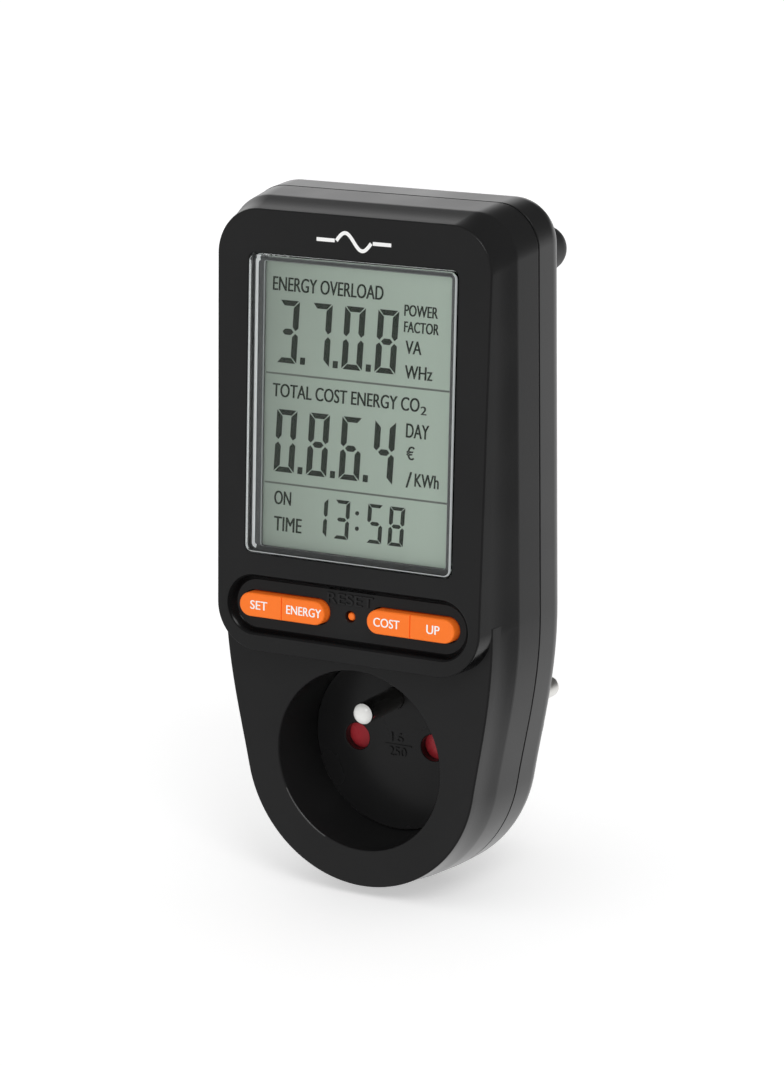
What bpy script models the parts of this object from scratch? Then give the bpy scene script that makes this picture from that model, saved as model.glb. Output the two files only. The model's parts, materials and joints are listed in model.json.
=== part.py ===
"""A plug-in power meter: a mains plug on the back, a socket and a display console on the front.

X runs to the right seen from the front, +Y runs into the wall and +Z is up. The origin is the centre
of the end face of the plug's boss. Two empties carry the pieces: the body frame, whose local Y is the
depth behind the socket's face, and the console frame inside it, whose local Y is the depth behind the
tilted face of the console and whose local Z runs up that face.
"""
import math

import bmesh
import bpy
from mathutils import Matrix

MM = 0.001
GAP = 0.3 * MM                      # clearance between pieces that touch

# The case, seen from the front: a straight-sided upper part that narrows to an arc round the well.
SOCKET_TO_PLUG = 52.0 * MM          # from the socket's face to the end of the plug's boss
RIDGE_DEPTH = 8.9 * MM              # where the sloped front band meets the side band
SEAM_DEPTH = 15.8 * MM              # middle of the gap between the two housings
BELT_DEPTH = 23.9 * MM              # end of the straight part of the rear housing
BACK_DEPTH = 33.5 * MM              # flat back
RIDGE_HALF_WIDTH = 34.6 * MM
SEAM_HALF_WIDTH = 35.4 * MM
BELT_HALF_WIDTH = 35.6 * MM
RIDGE_TOP = 119.7 * MM
SEAM_TOP = 120.5 * MM
BELT_TOP = 120.9 * MM
FACE_ARC = 28.2 * MM                # radius of the lower end on the socket's face
RIDGE_ARC = 29.4 * MM
SEAM_ARC = 30.1 * MM
BELT_ARC = 30.4 * MM
BAND_FLARE = 0.19                   # how much the front band widens for each unit of depth
TOP_FLARE = 0.24
RIDGE_CORNER = 9.4 * MM             # of the upper corners, from the ridge back
FACE_CORNER = 9.4 * MM
FLANK_START = 33.5 * MM             # height where the straight sides begin to narrow
ARC_START = math.radians(10)        # angle below the horizontal where the narrowing meets the arc
FLANK_LEAD = (15.5 * MM, 11.6 * MM)  # how far the flank's curve keeps each end's direction
RIM_SLOPE = math.radians(38)        # of the rear rim, which runs from the belt to the flat back
RIM_EDGE = 3.0 * MM                 # radius between the belt and the rim
WALL = 2.2 * MM

# The console: the raised panel with the display and the keys.
CONSOLE_TILT = math.radians(3.75)
CONSOLE_PROUD = 6.45 * MM           # height of the console's face over the socket's face, at z = 0
CONSOLE_BOTTOM = 23.0 * MM
CONSOLE_CORNER = 9.8 * MM
LENS_HALF = (25.0 * MM, 31.9 * MM)
LENS_CENTRE = 76.6 * MM
LENS_CORNER = 1.6 * MM
LENS_BACK = 2.7 * MM
LCD_FRAME_HALF = (26.4 * MM, 33.2 * MM)
LCD_FRAME_FRONT = 3.0 * MM
LCD_WINDOW_HALF = (22.6 * MM, 30.3 * MM)
LCD_WINDOW_CENTRE = 77.2 * MM
LCD_HALF = (24.6 * MM, 31.6 * MM)
LCD_FRONT = 3.7 * MM
LCD_BACK = 6.5 * MM

# The keys: two pill shapes, each split into two keys, and a reset pin in a hole between them.
KEY_HEIGHT = 33.1 * MM              # up the console's face
KEY_RADIUS = 2.6 * MM
KEY_INNER_END = 5.2 * MM
KEY_OUTER_END = 26.4 * MM
TRAY_HALF = (28.1 * MM, 5.15 * MM)  # of its floor
TRAY_DEPTH = 1.9 * MM
TRAY_SLOPE = 2.2 * MM               # how far its rim lies outside its floor
TRAY_BACK = 5.4 * MM
RESET_HOLE = 1.2 * MM
RESET_HEIGHT = 32.9 * MM
BOARD_DEPTH = 11.5 * MM             # front face of the display board, behind the console's face
BOARD_THICKNESS = 1.6 * MM

# The socket: a round well with two holes and an earth pin.
WELL_RADIUS = 20.0 * MM
WELL_FLOOR_RADIUS = 19.9 * MM
WELL_DEPTH = 15.8 * MM
WELL_TUBE_RADIUS = 22.2 * MM
WELL_TUBE_END = 17.7 * MM
PIN_PITCH = 19.0 * MM
EARTH_HEIGHT = 10.0 * MM
PIN_RADIUS = 2.4 * MM
EARTH_PIN_LENGTH = 14.9 * MM        # above the well's floor
HOLE_RADIUS = 3.0 * MM
SHUTTER_HALF = (13.6 * MM, 4.2 * MM)

# The plug: a boss with two pins, an earth hole and an earth clip above and below.
BOSS_RADIUS = 18.0 * MM
BOSS_INSIDE = 14.0 * MM
FLANGE_RADIUS = 21.0 * MM
FLANGE_DEPTH = 29.6 * MM
PLUG_PIN_LENGTH = 19.0 * MM
CLIP_FLOOR = 16.0 * MM
FOOT_PLACE = (21.5 * MM, 106.0 * MM)
FOOT_END = 49.9 * MM

CASE_SCREWS = [(-27.6 * MM, 112.6 * MM), (27.6 * MM, 112.6 * MM),
               (-25.3 * MM, 20.0 * MM), (25.3 * MM, 20.0 * MM)]
BOARD_SCREW = (27.6 * MM, 41.3 * MM)
POWER_SCREW = (18.0 * MM, 68.0 * MM)

# name: (base colour, roughness, metallic, alpha)
FINISHES = {
    "black_plastic": ((0.022, 0.022, 0.024), 0.45, 0.0, 1.0),
    "black_gloss": ((0.012, 0.012, 0.013), 0.2, 0.0, 1.0),
    "orange_key": ((1.0, 0.24, 0.02), 0.4, 0.0, 1.0),
    "red_shutter": ((0.42, 0.02, 0.035), 0.4, 0.0, 1.0),
    "clear_lens": ((0.9, 0.93, 0.92), 0.05, 0.0, 0.3),
    "lcd_glass": ((0.33, 0.4, 0.35), 0.3, 0.0, 1.0),
    "board_green": ((0.02, 0.16, 0.06), 0.4, 0.0, 1.0),
    "nickel": ((0.7, 0.69, 0.66), 0.2, 1.0, 1.0),
    "brass": ((0.75, 0.55, 0.25), 0.3, 1.0, 1.0),
    "steel": ((0.6, 0.6, 0.6), 0.3, 1.0, 1.0),
    "copper_alloy": ((0.7, 0.38, 0.2), 0.3, 1.0, 1.0),
    "rubber": ((0.02, 0.02, 0.02), 0.8, 0.0, 1.0),
    "grey_rubber": ((0.15, 0.15, 0.16), 0.7, 0.0, 1.0),
    "chip_black": ((0.015, 0.015, 0.015), 0.4, 0.0, 1.0),
    "cap_yellow": ((0.75, 0.55, 0.08), 0.4, 0.0, 1.0),
    "cap_blue": ((0.03, 0.08, 0.35), 0.3, 0.0, 1.0),
    "cell_green": ((0.05, 0.3, 0.12), 0.35, 0.0, 1.0),
    "base_grey": ((0.25, 0.25, 0.24), 0.5, 0.0, 1.0),
}


# ---------------------------------------------------------------- scene and objects

def clear_scene():
    for old in list(bpy.data.objects):
        bpy.data.objects.remove(old, do_unlink=True)


def new_collection(name):
    made = bpy.data.collections.new(name)
    bpy.context.scene.collection.children.link(made)
    return made


def finish(name):
    found = bpy.data.materials.get(name)
    if found:
        return found
    colour, roughness, metallic, alpha = FINISHES[name]
    made = bpy.data.materials.new(name)
    made.use_nodes = True
    shader = made.node_tree.nodes["Principled BSDF"]
    shader.inputs["Base Color"].default_value = (*colour, 1.0)
    shader.inputs["Roughness"].default_value = roughness
    shader.inputs["Metallic"].default_value = metallic
    shader.inputs["Alpha"].default_value = alpha
    return made


def empty(name, parent=None, location=(0, 0, 0), rotation=(0, 0, 0)):
    made = bpy.data.objects.new(name, None)
    made.empty_display_size = 10 * MM
    made.location = location
    made.rotation_euler = rotation
    made.parent = parent
    PARTS.objects.link(made)
    return made


def add_object(name, mesh, parent, location=(0, 0, 0), rotation=(0, 0, 0)):
    """An object that no collection holds yet: part() or tool() places it."""
    made = bpy.data.objects.new(name, mesh)
    made.location = location
    made.rotation_euler = rotation
    made.parent = parent
    return made


def part(made, material):
    """Keeps an object as a piece of the meter."""
    PARTS.objects.link(made)
    made.data.materials.append(finish(material))
    made.data.shade_smooth()
    made.data.set_sharp_from_angle(angle=math.radians(35))
    return made


def tool(made):
    """Keeps an object as a cutter, or as a shape to be joined to a piece."""
    TOOLS.objects.link(made)
    made.hide_render = True
    made.display_type = 'WIRE'
    return made


def combine(target, operation, *others):
    for other in others:
        if other.name not in TOOLS.objects:
            tool(other)
        modifier = target.modifiers.new(other.name, 'BOOLEAN')
        modifier.operation = operation
        modifier.solver = 'EXACT'
        modifier.object = other
    return target


def cut(target, *cutters):
    return combine(target, 'DIFFERENCE', *cutters)


def join(target, *additions):
    return combine(target, 'UNION', *additions)


# ---------------------------------------------------------------- shapes

def mesh_of(name, work):
    bmesh.ops.recalc_face_normals(work, faces=work.faces)
    mesh = bpy.data.meshes.new(name)
    work.to_mesh(mesh)
    work.free()
    return mesh


def box(name, low, high, parent, bevel=0.0):
    work = bmesh.new()
    size = [top - bottom for bottom, top in zip(low, high)]
    bmesh.ops.create_cube(work, size=1.0, matrix=Matrix.Diagonal((*size, 1.0)))
    if bevel:
        bmesh.ops.bevel(work, geom=work.edges[:], offset=bevel, segments=1, affect='EDGES')
    centre = [(bottom + top) / 2 for bottom, top in zip(low, high)]
    return add_object(name, mesh_of(name, work), parent, centre)


def add_cylinder(work, radius, low, high, x, z, sides, end_radius=None):
    """Adds a cylinder or cone along Y to a bmesh, from depth low to depth high."""
    middle = Matrix.Translation((x, (low + high) / 2, z))
    turn = Matrix.Rotation(math.radians(-90), 4, 'X')
    bmesh.ops.create_cone(work, cap_ends=True, segments=sides, radius1=radius,
                          radius2=radius if end_radius is None else end_radius,
                          depth=high - low, matrix=middle @ turn)


def cylinders(name, radius, low, high, places, parent, sides=24, end_radius=None):
    """Equal cylinders along Y at the given (x, z) places, in one object."""
    work = bmesh.new()
    for x, z in places:
        add_cylinder(work, radius, low, high, x, z, sides, end_radius)
    return add_object(name, mesh_of(name, work), parent)


def tube(name, outer, inner, low, high, place, parent, sides=24):
    made = cylinders(name, outer, low, high, [place], parent, sides)
    bore = cylinders(name + "_bore", inner, low - 1 * MM, high + 1 * MM, [place], parent, sides)
    return cut(made, bore)


def turned(name, profile, place, parent, steps=32):
    """A body turned about an axis along Y. Its profile holds (radius, depth), from deep to shallow."""
    mesh = bpy.data.meshes.new(name)
    points = [(radius, 0, depth) for radius, depth in profile]
    mesh.from_pydata(points, [(i, i + 1) for i in range(len(points) - 1)], [])
    made = add_object(name, mesh, parent, (place[0], 0, place[1]), (math.radians(-90), 0, 0))
    screw = made.modifiers.new("turn", 'SCREW')
    screw.steps = steps
    screw.render_steps = steps
    screw.use_merge_vertices = True
    screw.merge_threshold = 0.00001
    screw.use_smooth_shade = True
    return made


def loft(name, sections, parent):
    """A body through outlines of equal length, given as (depth, [(x, z), ...])."""
    work = bmesh.new()
    rings = [[work.verts.new((x, depth, z)) for x, z in outline] for depth, outline in sections]
    for ring, following in zip(rings, rings[1:]):
        for i in range(len(ring)):
            j = (i + 1) % len(ring)
            work.faces.new((ring[i], ring[j], following[j], following[i]))
    work.faces.new(rings[0])
    work.faces.new(rings[-1])
    return add_object(name, mesh_of(name, work), parent)


def plate(name, outline, low, high, parent):
    return loft(name, [(low, outline), (high, outline)], parent)


def arc(centre_x, centre_z, radius, start, end, steps):
    """Points along an arc, from angle start to angle end in degrees."""
    points = []
    for i in range(steps + 1):
        angle = math.radians(start + (end - start) * i / steps)
        points.append((centre_x + radius * math.cos(angle), centre_z + radius * math.sin(angle)))
    return points


def bezier(p0, p1, p2, p3, steps):
    """The inner points of a cubic curve, without its two ends."""
    points = []
    for i in range(1, steps):
        t = i / steps
        weights = ((1 - t) ** 3, 3 * t * (1 - t) ** 2, 3 * t * t * (1 - t), t ** 3)
        points.append(tuple(sum(w * p[axis] for w, p in zip(weights, (p0, p1, p2, p3))) for axis in (0, 1)))
    return points


def mirrored(right_side):
    """Closes an outline whose right side runs from the top to the bottom; points on x = 0 stay single."""
    left_side = [(-x, z) for x, z in reversed(right_side) if x > 1e-7]
    return right_side + left_side


def case_outline(half_width, top, corner, arc_radius):
    """The body's outline: rounded top corners, straight sides, flanks that narrow, and an arc below."""
    right = arc(half_width - corner, top - corner, corner, 90, 0, 6)
    end = (arc_radius * math.cos(ARC_START), -arc_radius * math.sin(ARC_START))
    toward = (end[0] + FLANK_LEAD[1] * math.sin(ARC_START), end[1] + FLANK_LEAD[1] * math.cos(ARC_START))
    start = (half_width, FLANK_START)
    right.append(start)
    right += bezier(start, (half_width, FLANK_START - FLANK_LEAD[0]), toward, end, 6)
    right += arc(0, 0, arc_radius, -math.degrees(ARC_START), -90, 9)
    right[-1] = (0.0, -arc_radius)
    return mirrored(right)


def panel_outline(half_width, top, bottom, top_corner, bottom_corner, steps=6):
    right = arc(half_width - top_corner, top - top_corner, top_corner, 90, 0, steps)
    right += arc(half_width - bottom_corner, bottom + bottom_corner, bottom_corner, 0, -90, steps)
    return mirrored(right)


def rectangle(half_width, half_height, centre_z, corner, steps=3):
    return panel_outline(half_width, centre_z + half_height, centre_z - half_height, corner, corner, steps)


def stadium(half_width, radius, centre_z, steps=10):
    """A slot shape with round ends."""
    return panel_outline(half_width, centre_z + radius, centre_z - radius, radius, radius, steps // 2)


def ribbon(name, path, width, thickness, parent):
    """A bent strip of sheet metal: its path holds (depth, z) and it is as wide as given along X."""
    work = bmesh.new()
    rows = [[work.verts.new((side * width / 2, depth, z)) for side in (-1, 1)] for depth, z in path]
    for row, following in zip(rows, rows[1:]):
        work.faces.new((row[0], row[1], following[1], following[0]))
    made = add_object(name, mesh_of(name, work), parent)
    solid = made.modifiers.new("sheet", 'SOLIDIFY')
    solid.thickness = thickness
    solid.offset = 0.0
    solid.use_even_offset = True
    return made


def wire(name, points, radius, parent):
    """A round wire through points, made from a curve and welded at its caps."""
    curve = bpy.data.curves.new(name, 'CURVE')
    curve.dimensions = '3D'
    curve.bevel_depth = radius
    curve.bevel_resolution = 2
    curve.use_fill_caps = True
    spline = curve.splines.new('POLY')
    spline.points.add(len(points) - 1)
    for point, place in zip(spline.points, points):
        point.co = (*place, 1.0)
    guide = bpy.data.objects.new(name + "_guide", curve)
    guide.parent = parent
    TOOLS.objects.link(guide)
    bpy.context.view_layer.update()
    evaluated = guide.evaluated_get(bpy.context.evaluated_depsgraph_get())
    mesh = bpy.data.meshes.new_from_object(evaluated)
    work = bmesh.new()
    work.from_mesh(mesh)
    bmesh.ops.remove_doubles(work, verts=work.verts, dist=0.000001)
    bmesh.ops.recalc_face_normals(work, faces=work.faces)
    work.to_mesh(mesh)
    work.free()
    made = add_object(name, mesh, parent)
    bpy.data.objects.remove(guide)
    return made


# ---------------------------------------------------------------- the case

def front_band(depth):
    """Half-width and top of the sloped front band at a depth, in front of the ridge."""
    ahead = RIDGE_DEPTH - depth
    return RIDGE_HALF_WIDTH - ahead * BAND_FLARE, RIDGE_TOP - ahead * TOP_FLARE


def front_body(name, inset, first, last):
    """The lower front housing as a solid, from the socket's face back, with its outline inset."""
    half_width, top = front_band(0)
    sections = [
        (first, case_outline(half_width - inset, top - inset, FACE_CORNER - inset, FACE_ARC - inset)),
        (RIDGE_DEPTH, case_outline(RIDGE_HALF_WIDTH - inset, RIDGE_TOP - inset, RIDGE_CORNER - inset,
                                   RIDGE_ARC - inset)),
        (last,
         case_outline(SEAM_HALF_WIDTH - inset, SEAM_TOP - inset, RIDGE_CORNER - inset, SEAM_ARC - inset)),
    ]
    return loft(name, sections, BODY)


def console_body(name, inset, last, bottom):
    """The console as a solid that reaches past its own face, for trimming by that face."""
    sections = []
    for depth, corner in ((-9 * MM, CONSOLE_CORNER), (RIDGE_DEPTH, RIDGE_CORNER)):
        half_width, top = front_band(depth)
        shrink = inset + 0.01 * MM
        sections.append((depth, panel_outline(half_width - shrink, top - shrink, bottom, corner - inset,
                                              CONSOLE_CORNER - inset)))
    if last > RIDGE_DEPTH:
        sections.append((last, panel_outline(SEAM_HALF_WIDTH - inset, SEAM_TOP - inset, bottom,
                                             RIDGE_CORNER - inset, CONSOLE_CORNER - inset)))
    return loft(name, sections, BODY)


def front_slab(name, depth):
    """Everything in front of a plane that lies at a depth behind the console's face."""
    return box(name, (-50 * MM, -40 * MM, -60 * MM), (50 * MM, depth, 140 * MM), CONSOLE)


def tray_outline(grow):
    return stadium(TRAY_HALF[0] + grow, TRAY_HALF[1] + grow, KEY_HEIGHT)


def make_front_housing():
    housing = front_body("front_housing", 0, 0, SEAM_DEPTH - GAP / 2)
    join(housing, console_body("console_block", 0, RIDGE_DEPTH, CONSOLE_BOTTOM))
    cut(housing, front_slab("console_face", 0))

    past_seam = SEAM_DEPTH + 1 * MM
    lower_hollow = front_body("lower_hollow", WALL, WALL, past_seam)
    limit = box("hollow_limit", (-50 * MM, -10 * MM, 36 * MM), (50 * MM, 30 * MM, 140 * MM), BODY)
    cut(lower_hollow, limit)
    upper_hollow = console_body("upper_hollow", WALL, past_seam, CONSOLE_BOTTOM + WALL)
    cut(upper_hollow, front_slab("console_wall", WALL))
    cut(housing, lower_hollow, upper_hollow)

    boss_end = SEAM_DEPTH + 0.2 * MM
    upper_places = CASE_SCREWS[:2]
    lower_places = CASE_SCREWS[2:]
    board_places = [(-BOARD_SCREW[0], BOARD_SCREW[1]), BOARD_SCREW]
    join(housing,
         cylinders("well_tube", WELL_TUBE_RADIUS, 1 * MM, WELL_TUBE_END, [(0, 0)], BODY, 56),
         plate("tray_back", tray_outline(TRAY_SLOPE + 0.8 * MM), 1 * MM, TRAY_BACK, CONSOLE),
         cylinders("upper_screw_bosses", 2.8 * MM, 2 * MM, boss_end, upper_places, BODY, 20),
         cylinders("lower_screw_bosses", 2.8 * MM, 1 * MM, boss_end, lower_places, BODY, 20),
         cylinders("board_bosses", 1.9 * MM, 1 * MM, BOARD_DEPTH - GAP, board_places, CONSOLE, 16))

    window = rectangle(LENS_HALF[0] + 0.35 * MM, LENS_HALF[1] + 0.35 * MM, LENS_CENTRE, LENS_CORNER)
    wall = [(-1 * MM, 1), (0, 1), (0.2 * TRAY_DEPTH, 0.6), (0.8 * TRAY_DEPTH, 0.15), (TRAY_DEPTH, 0)]
    tray = loft("key_tray", [(depth, tray_outline(TRAY_SLOPE * share)) for depth, share in wall], CONSOLE)
    cut(housing,
        cylinders("well_bore", WELL_RADIUS + 0.006 * MM, -1 * MM, 20 * MM, [(0, 0)], BODY, 56,
                  WELL_FLOOR_RADIUS),
        plate("lens_window", window, -1 * MM, 4 * MM, CONSOLE),
        tray)
    for side, label in ((-1, "left"), (1, "right")):
        cut(housing, key_solid(label + "_key_opening", side, (KEY_INNER_END, KEY_OUTER_END), (1, 1), GAP,
                               [(0, 0), (8 * MM, 0)]))
    cut(housing,
        cylinders("reset_hole", RESET_HOLE, 0, 8 * MM, [(0, RESET_HEIGHT)], CONSOLE, 20),
        cylinders("case_pilots", 1.65 * MM, 6.5 * MM, 20 * MM, CASE_SCREWS, BODY, 16),
        cylinders("board_pilots", 1.1 * MM, 4.5 * MM, 14 * MM, board_places, CONSOLE, 12))
    return part(housing, "black_plastic")


def rim_inset(depth):
    """How far the sloped rear rim lies inside the belt's outline at a depth."""
    start = BELT_DEPTH + RIM_EDGE * math.sin(RIM_SLOPE)
    return RIM_EDGE * (1 - math.cos(RIM_SLOPE)) + (depth - start) * math.tan(RIM_SLOPE)


def belt_outline(inset):
    sizes = (BELT_HALF_WIDTH, BELT_TOP, RIDGE_CORNER, BELT_ARC)
    shrink = (inset, inset, inset * 0.6, inset)
    return case_outline(*(size - less for size, less in zip(sizes, shrink)))


def rear_solid(name):
    """The rear housing without its hollow: a straight belt, a rounded edge and a sloped rim."""
    sizes = (SEAM_HALF_WIDTH, SEAM_TOP, RIDGE_CORNER, SEAM_ARC)
    sections = [(SEAM_DEPTH + GAP / 2, case_outline(*sizes)), (BELT_DEPTH, belt_outline(0))]
    for share in (1 / 3, 2 / 3, 1):
        turn = RIM_SLOPE * share
        sections.append((BELT_DEPTH + RIM_EDGE * math.sin(turn),
                         belt_outline(RIM_EDGE * (1 - math.cos(turn)))))
    rim_end = BACK_DEPTH - 0.6 * MM
    sections.append((rim_end, belt_outline(rim_inset(rim_end))))
    sections.append((BACK_DEPTH, belt_outline(rim_inset(rim_end) + 1.1 * MM)))
    return loft(name, sections, BODY)


def rear_hollow(name):
    inside = BACK_DEPTH - WALL
    sizes = (SEAM_HALF_WIDTH, SEAM_TOP, RIDGE_CORNER, SEAM_ARC)
    sections = [(SEAM_DEPTH - 2 * MM, case_outline(*(size - WALL for size in sizes))),
                (BELT_DEPTH, belt_outline(WALL)),
                (inside, belt_outline(rim_inset(inside) + WALL / math.cos(RIM_SLOPE)))]
    return loft(name, sections, BODY)


def make_rear_housing():
    housing = rear_solid("rear_housing")
    cut(housing, rear_hollow("rear_hollow"))

    screw_posts = cylinders("rear_screw_posts", 3.9 * MM, SEAM_DEPTH + 0.5 * MM, BACK_DEPTH + 1 * MM,
                            CASE_SCREWS,
                            BODY, 24)
    combine(screw_posts, 'INTERSECT', rear_solid("rear_envelope"))
    power_places = [(-POWER_SCREW[0], POWER_SCREW[1]), POWER_SCREW]
    join(housing, screw_posts,
         cylinders("power_board_posts", 2.2 * MM, 26.9 * MM, BACK_DEPTH - 1 * MM, power_places, BODY, 16))
    cut(housing,
        cylinders("plug_opening", BOSS_RADIUS + GAP, 25 * MM, BACK_DEPTH + 1 * MM, [(0, 0)], BODY, 56),
        cylinders("screw_wells", 3.2 * MM, 21.5 * MM, BACK_DEPTH + 5 * MM, CASE_SCREWS, BODY, 24),
        cylinders("screw_clearance", 1.7 * MM, 10 * MM, 25 * MM, CASE_SCREWS, BODY, 16),
        cylinders("power_pilots", 1.1 * MM, 20 * MM, 30 * MM, power_places, BODY, 12),
        cylinders("foot_holes", 2.2 * MM, 28 * MM, BACK_DEPTH + 1 * MM,
                  [(-FOOT_PLACE[0], FOOT_PLACE[1]), FOOT_PLACE], BODY, 16))
    return part(housing, "black_plastic")


def make_plug_base():
    """The plug's boss, a separate moulding that holds the pins; its flange bears on the back from inside."""
    pin_places = [(-PIN_PITCH / 2, 0), (PIN_PITCH / 2, 0)]
    inside = BACK_DEPTH - WALL
    base = cylinders("plug_base", BOSS_RADIUS, FLANGE_DEPTH, SOCKET_TO_PLUG, [(0, 0)], BODY, 56)
    join(base, cylinders("plug_flange", FLANGE_RADIUS, FLANGE_DEPTH, inside - GAP, [(0, 0)], BODY, 56))
    cut(base, cylinders("boss_hollow", BOSS_INSIDE, 25 * MM, SOCKET_TO_PLUG - WALL, [(0, 0)], BODY, 32))
    join(base, cylinders("pin_sleeves", 4.2 * MM, 45.5 * MM, SOCKET_TO_PLUG - 1 * MM, pin_places, BODY, 24))

    groove_start = BACK_DEPTH + 2 * MM
    past_end = SOCKET_TO_PLUG + 1 * MM
    for side, label in ((-1, "left"), (1, "right")):
        low, high = sorted((side * (BOSS_RADIUS - 2.2 * MM), side * (BOSS_RADIUS + 2 * MM)))
        groove = box(label + "_guide_groove", (low, groove_start, -2.7 * MM), (high, past_end, 2.7 * MM),
                     BODY)
        cut(base, groove)
    for side, label in ((-1, "lower"), (1, "upper")):
        low, high = sorted((side * CLIP_FLOOR, side * (BOSS_RADIUS + 2 * MM)))
        cut(base, box(label + "_clip_recess", (-3.6 * MM, 37 * MM, low), (3.6 * MM, past_end, high), BODY))
        low, high = sorted((side * 12 * MM, side * 17 * MM))
        cut(base, box(label + "_clip_slot", (-3.6 * MM, 37 * MM, low), (3.6 * MM, 39 * MM, high), BODY))
    cut(base,
        cylinders("plug_pin_holes", PIN_RADIUS + GAP, 44 * MM, past_end, pin_places, BODY, 24),
        cylinders("plug_earth_hole", HOLE_RADIUS, 47 * MM, past_end, [(0, EARTH_HEIGHT)], BODY, 24))
    return part(base, "black_plastic")


def make_feet():
    for side, label in ((-1, "left"), (1, "right")):
        base = BACK_DEPTH + GAP
        radius = 5.1 * MM
        centre = FOOT_END - radius
        dome = [(radius * math.sin(math.radians(a)), centre + radius * math.cos(math.radians(a)))
                for a in range(0, 91, 15)]
        dome[0] = (0.0, FOOT_END)
        profile = dome + [(5.25 * MM, base + 1.5 * MM), (5.4 * MM, base), (1.9 * MM, base),
                          (1.9 * MM, 29.6 * MM),
                          (0.0, 29.6 * MM)]
        foot = turned("spacer_foot_" + label, profile, (side * FOOT_PLACE[0], FOOT_PLACE[1]), BODY, 18)
        part(foot, "rubber")


def screw_profile(head_radius, head_height, shank_radius, seat, tip):
    """A pan-head screw whose head lies behind its seat and whose shank points to the front."""
    return [(0.0, seat + head_height), (head_radius * 0.72, seat + head_height),
            (head_radius, seat + head_height * 0.55), (head_radius, seat), (shank_radius, seat),
            (shank_radius, tip + 0.8 * MM), (shank_radius * 0.4, tip), (0.0, tip)]


def cross_recess(name, reach, width, low, high, place, parent):
    """A cross-shaped cutter for a screw's head."""
    x, z = place
    across = box(name, (x - reach, low, z - width / 2), (x + reach, high, z + width / 2), parent)
    upright = box(name + "_upright", (x - width / 2, low, z - reach), (x + width / 2, high, z + reach),
                  parent)
    return join(across, upright)


def make_case_screws():
    labels = ("top_left", "top_right", "bottom_left", "bottom_right")
    seat = 21.8 * MM
    for label, place in zip(labels, CASE_SCREWS):
        name = "case_screw_" + label
        screw = turned(name, screw_profile(2.8 * MM, 1.9 * MM, 1.35 * MM, seat, 7.5 * MM), place, BODY, 16)
        cut(screw,
            cross_recess(name + "_recess", 1.5 * MM, 0.7 * MM, seat + 0.9 * MM, seat + 3 * MM, place, BODY))
        part(screw, "steel")


# ---------------------------------------------------------------- display and keys

def make_display():
    half_x, half_z = LENS_HALF
    lens_sections = []
    flange = 2.3 * MM
    profile = ((-0.5 * MM, -0.7 * MM), (0.2 * MM, 0), (flange, 0), (flange, 0.9 * MM),
               (LENS_BACK, 0.9 * MM))
    for depth, grow in profile:
        lens_sections.append((depth, rectangle(half_x + grow, half_z + grow, LENS_CENTRE, LENS_CORNER)))
    part(loft("display_lens", lens_sections, CONSOLE), "clear_lens")

    outer = rectangle(*LCD_FRAME_HALF, LENS_CENTRE, 1.5 * MM)
    frame = plate("lcd_frame", outer, LCD_FRAME_FRONT, 8.2 * MM, CONSOLE)
    pocket = rectangle(LCD_HALF[0] + GAP, LCD_HALF[1] + GAP, LENS_CENTRE, 0.5 * MM)
    window = rectangle(*LCD_WINDOW_HALF, LCD_WINDOW_CENTRE, 0.5 * MM)
    cut(frame,
        plate("lcd_pocket", pocket, LCD_FRONT - 0.1 * MM, 9 * MM, CONSOLE),
        plate("lcd_window", window, LCD_FRAME_FRONT - 1 * MM, 9 * MM, CONSOLE))
    part(frame, "chip_black")

    panel = rectangle(*LCD_HALF, LENS_CENTRE, 0.3 * MM)
    part(plate("lcd_panel", panel, LCD_FRONT, LCD_BACK, CONSOLE), "lcd_glass")
    strip_bottom = LENS_CENTRE - LCD_HALF[1] + 1 * MM
    strip_top = strip_bottom + 2.2 * MM
    part(box("contact_strip", (-21 * MM, LCD_BACK + GAP, strip_bottom),
             (21 * MM, BOARD_DEPTH - GAP, strip_top),
             CONSOLE, 0.2 * MM), "grey_rubber")


def key_solid(name, side, span, round_ends, grow, sections):
    """A pill or half a pill. span is its inner and outer x, round_ends says which of them is round, and
    sections holds (depth, inset). A flat end lies half a gap short of the pill's middle."""
    inner, outer = span
    rings = []
    for depth, inset in sections:
        radius = KEY_RADIUS + grow - inset
        low = inner - (grow - inset if round_ends[0] else 0)
        high = outer + (grow - inset if round_ends[1] else 0)
        if round_ends[1]:
            right = arc(high - radius, KEY_HEIGHT, radius, 90, -90, 10)
        else:
            right = [(high - max(inset, 0), KEY_HEIGHT + radius),
                     (high - max(inset, 0), KEY_HEIGHT - radius)]
        if round_ends[0]:
            left = arc(low + radius, KEY_HEIGHT, radius, -90, -270, 10)
        else:
            left = [(low + max(inset, 0), KEY_HEIGHT - radius), (low + max(inset, 0), KEY_HEIGHT + radius)]
        rings.append((depth, [(side * x, z) for x, z in right + left]))
    return loft(name, rings, CONSOLE)


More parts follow.
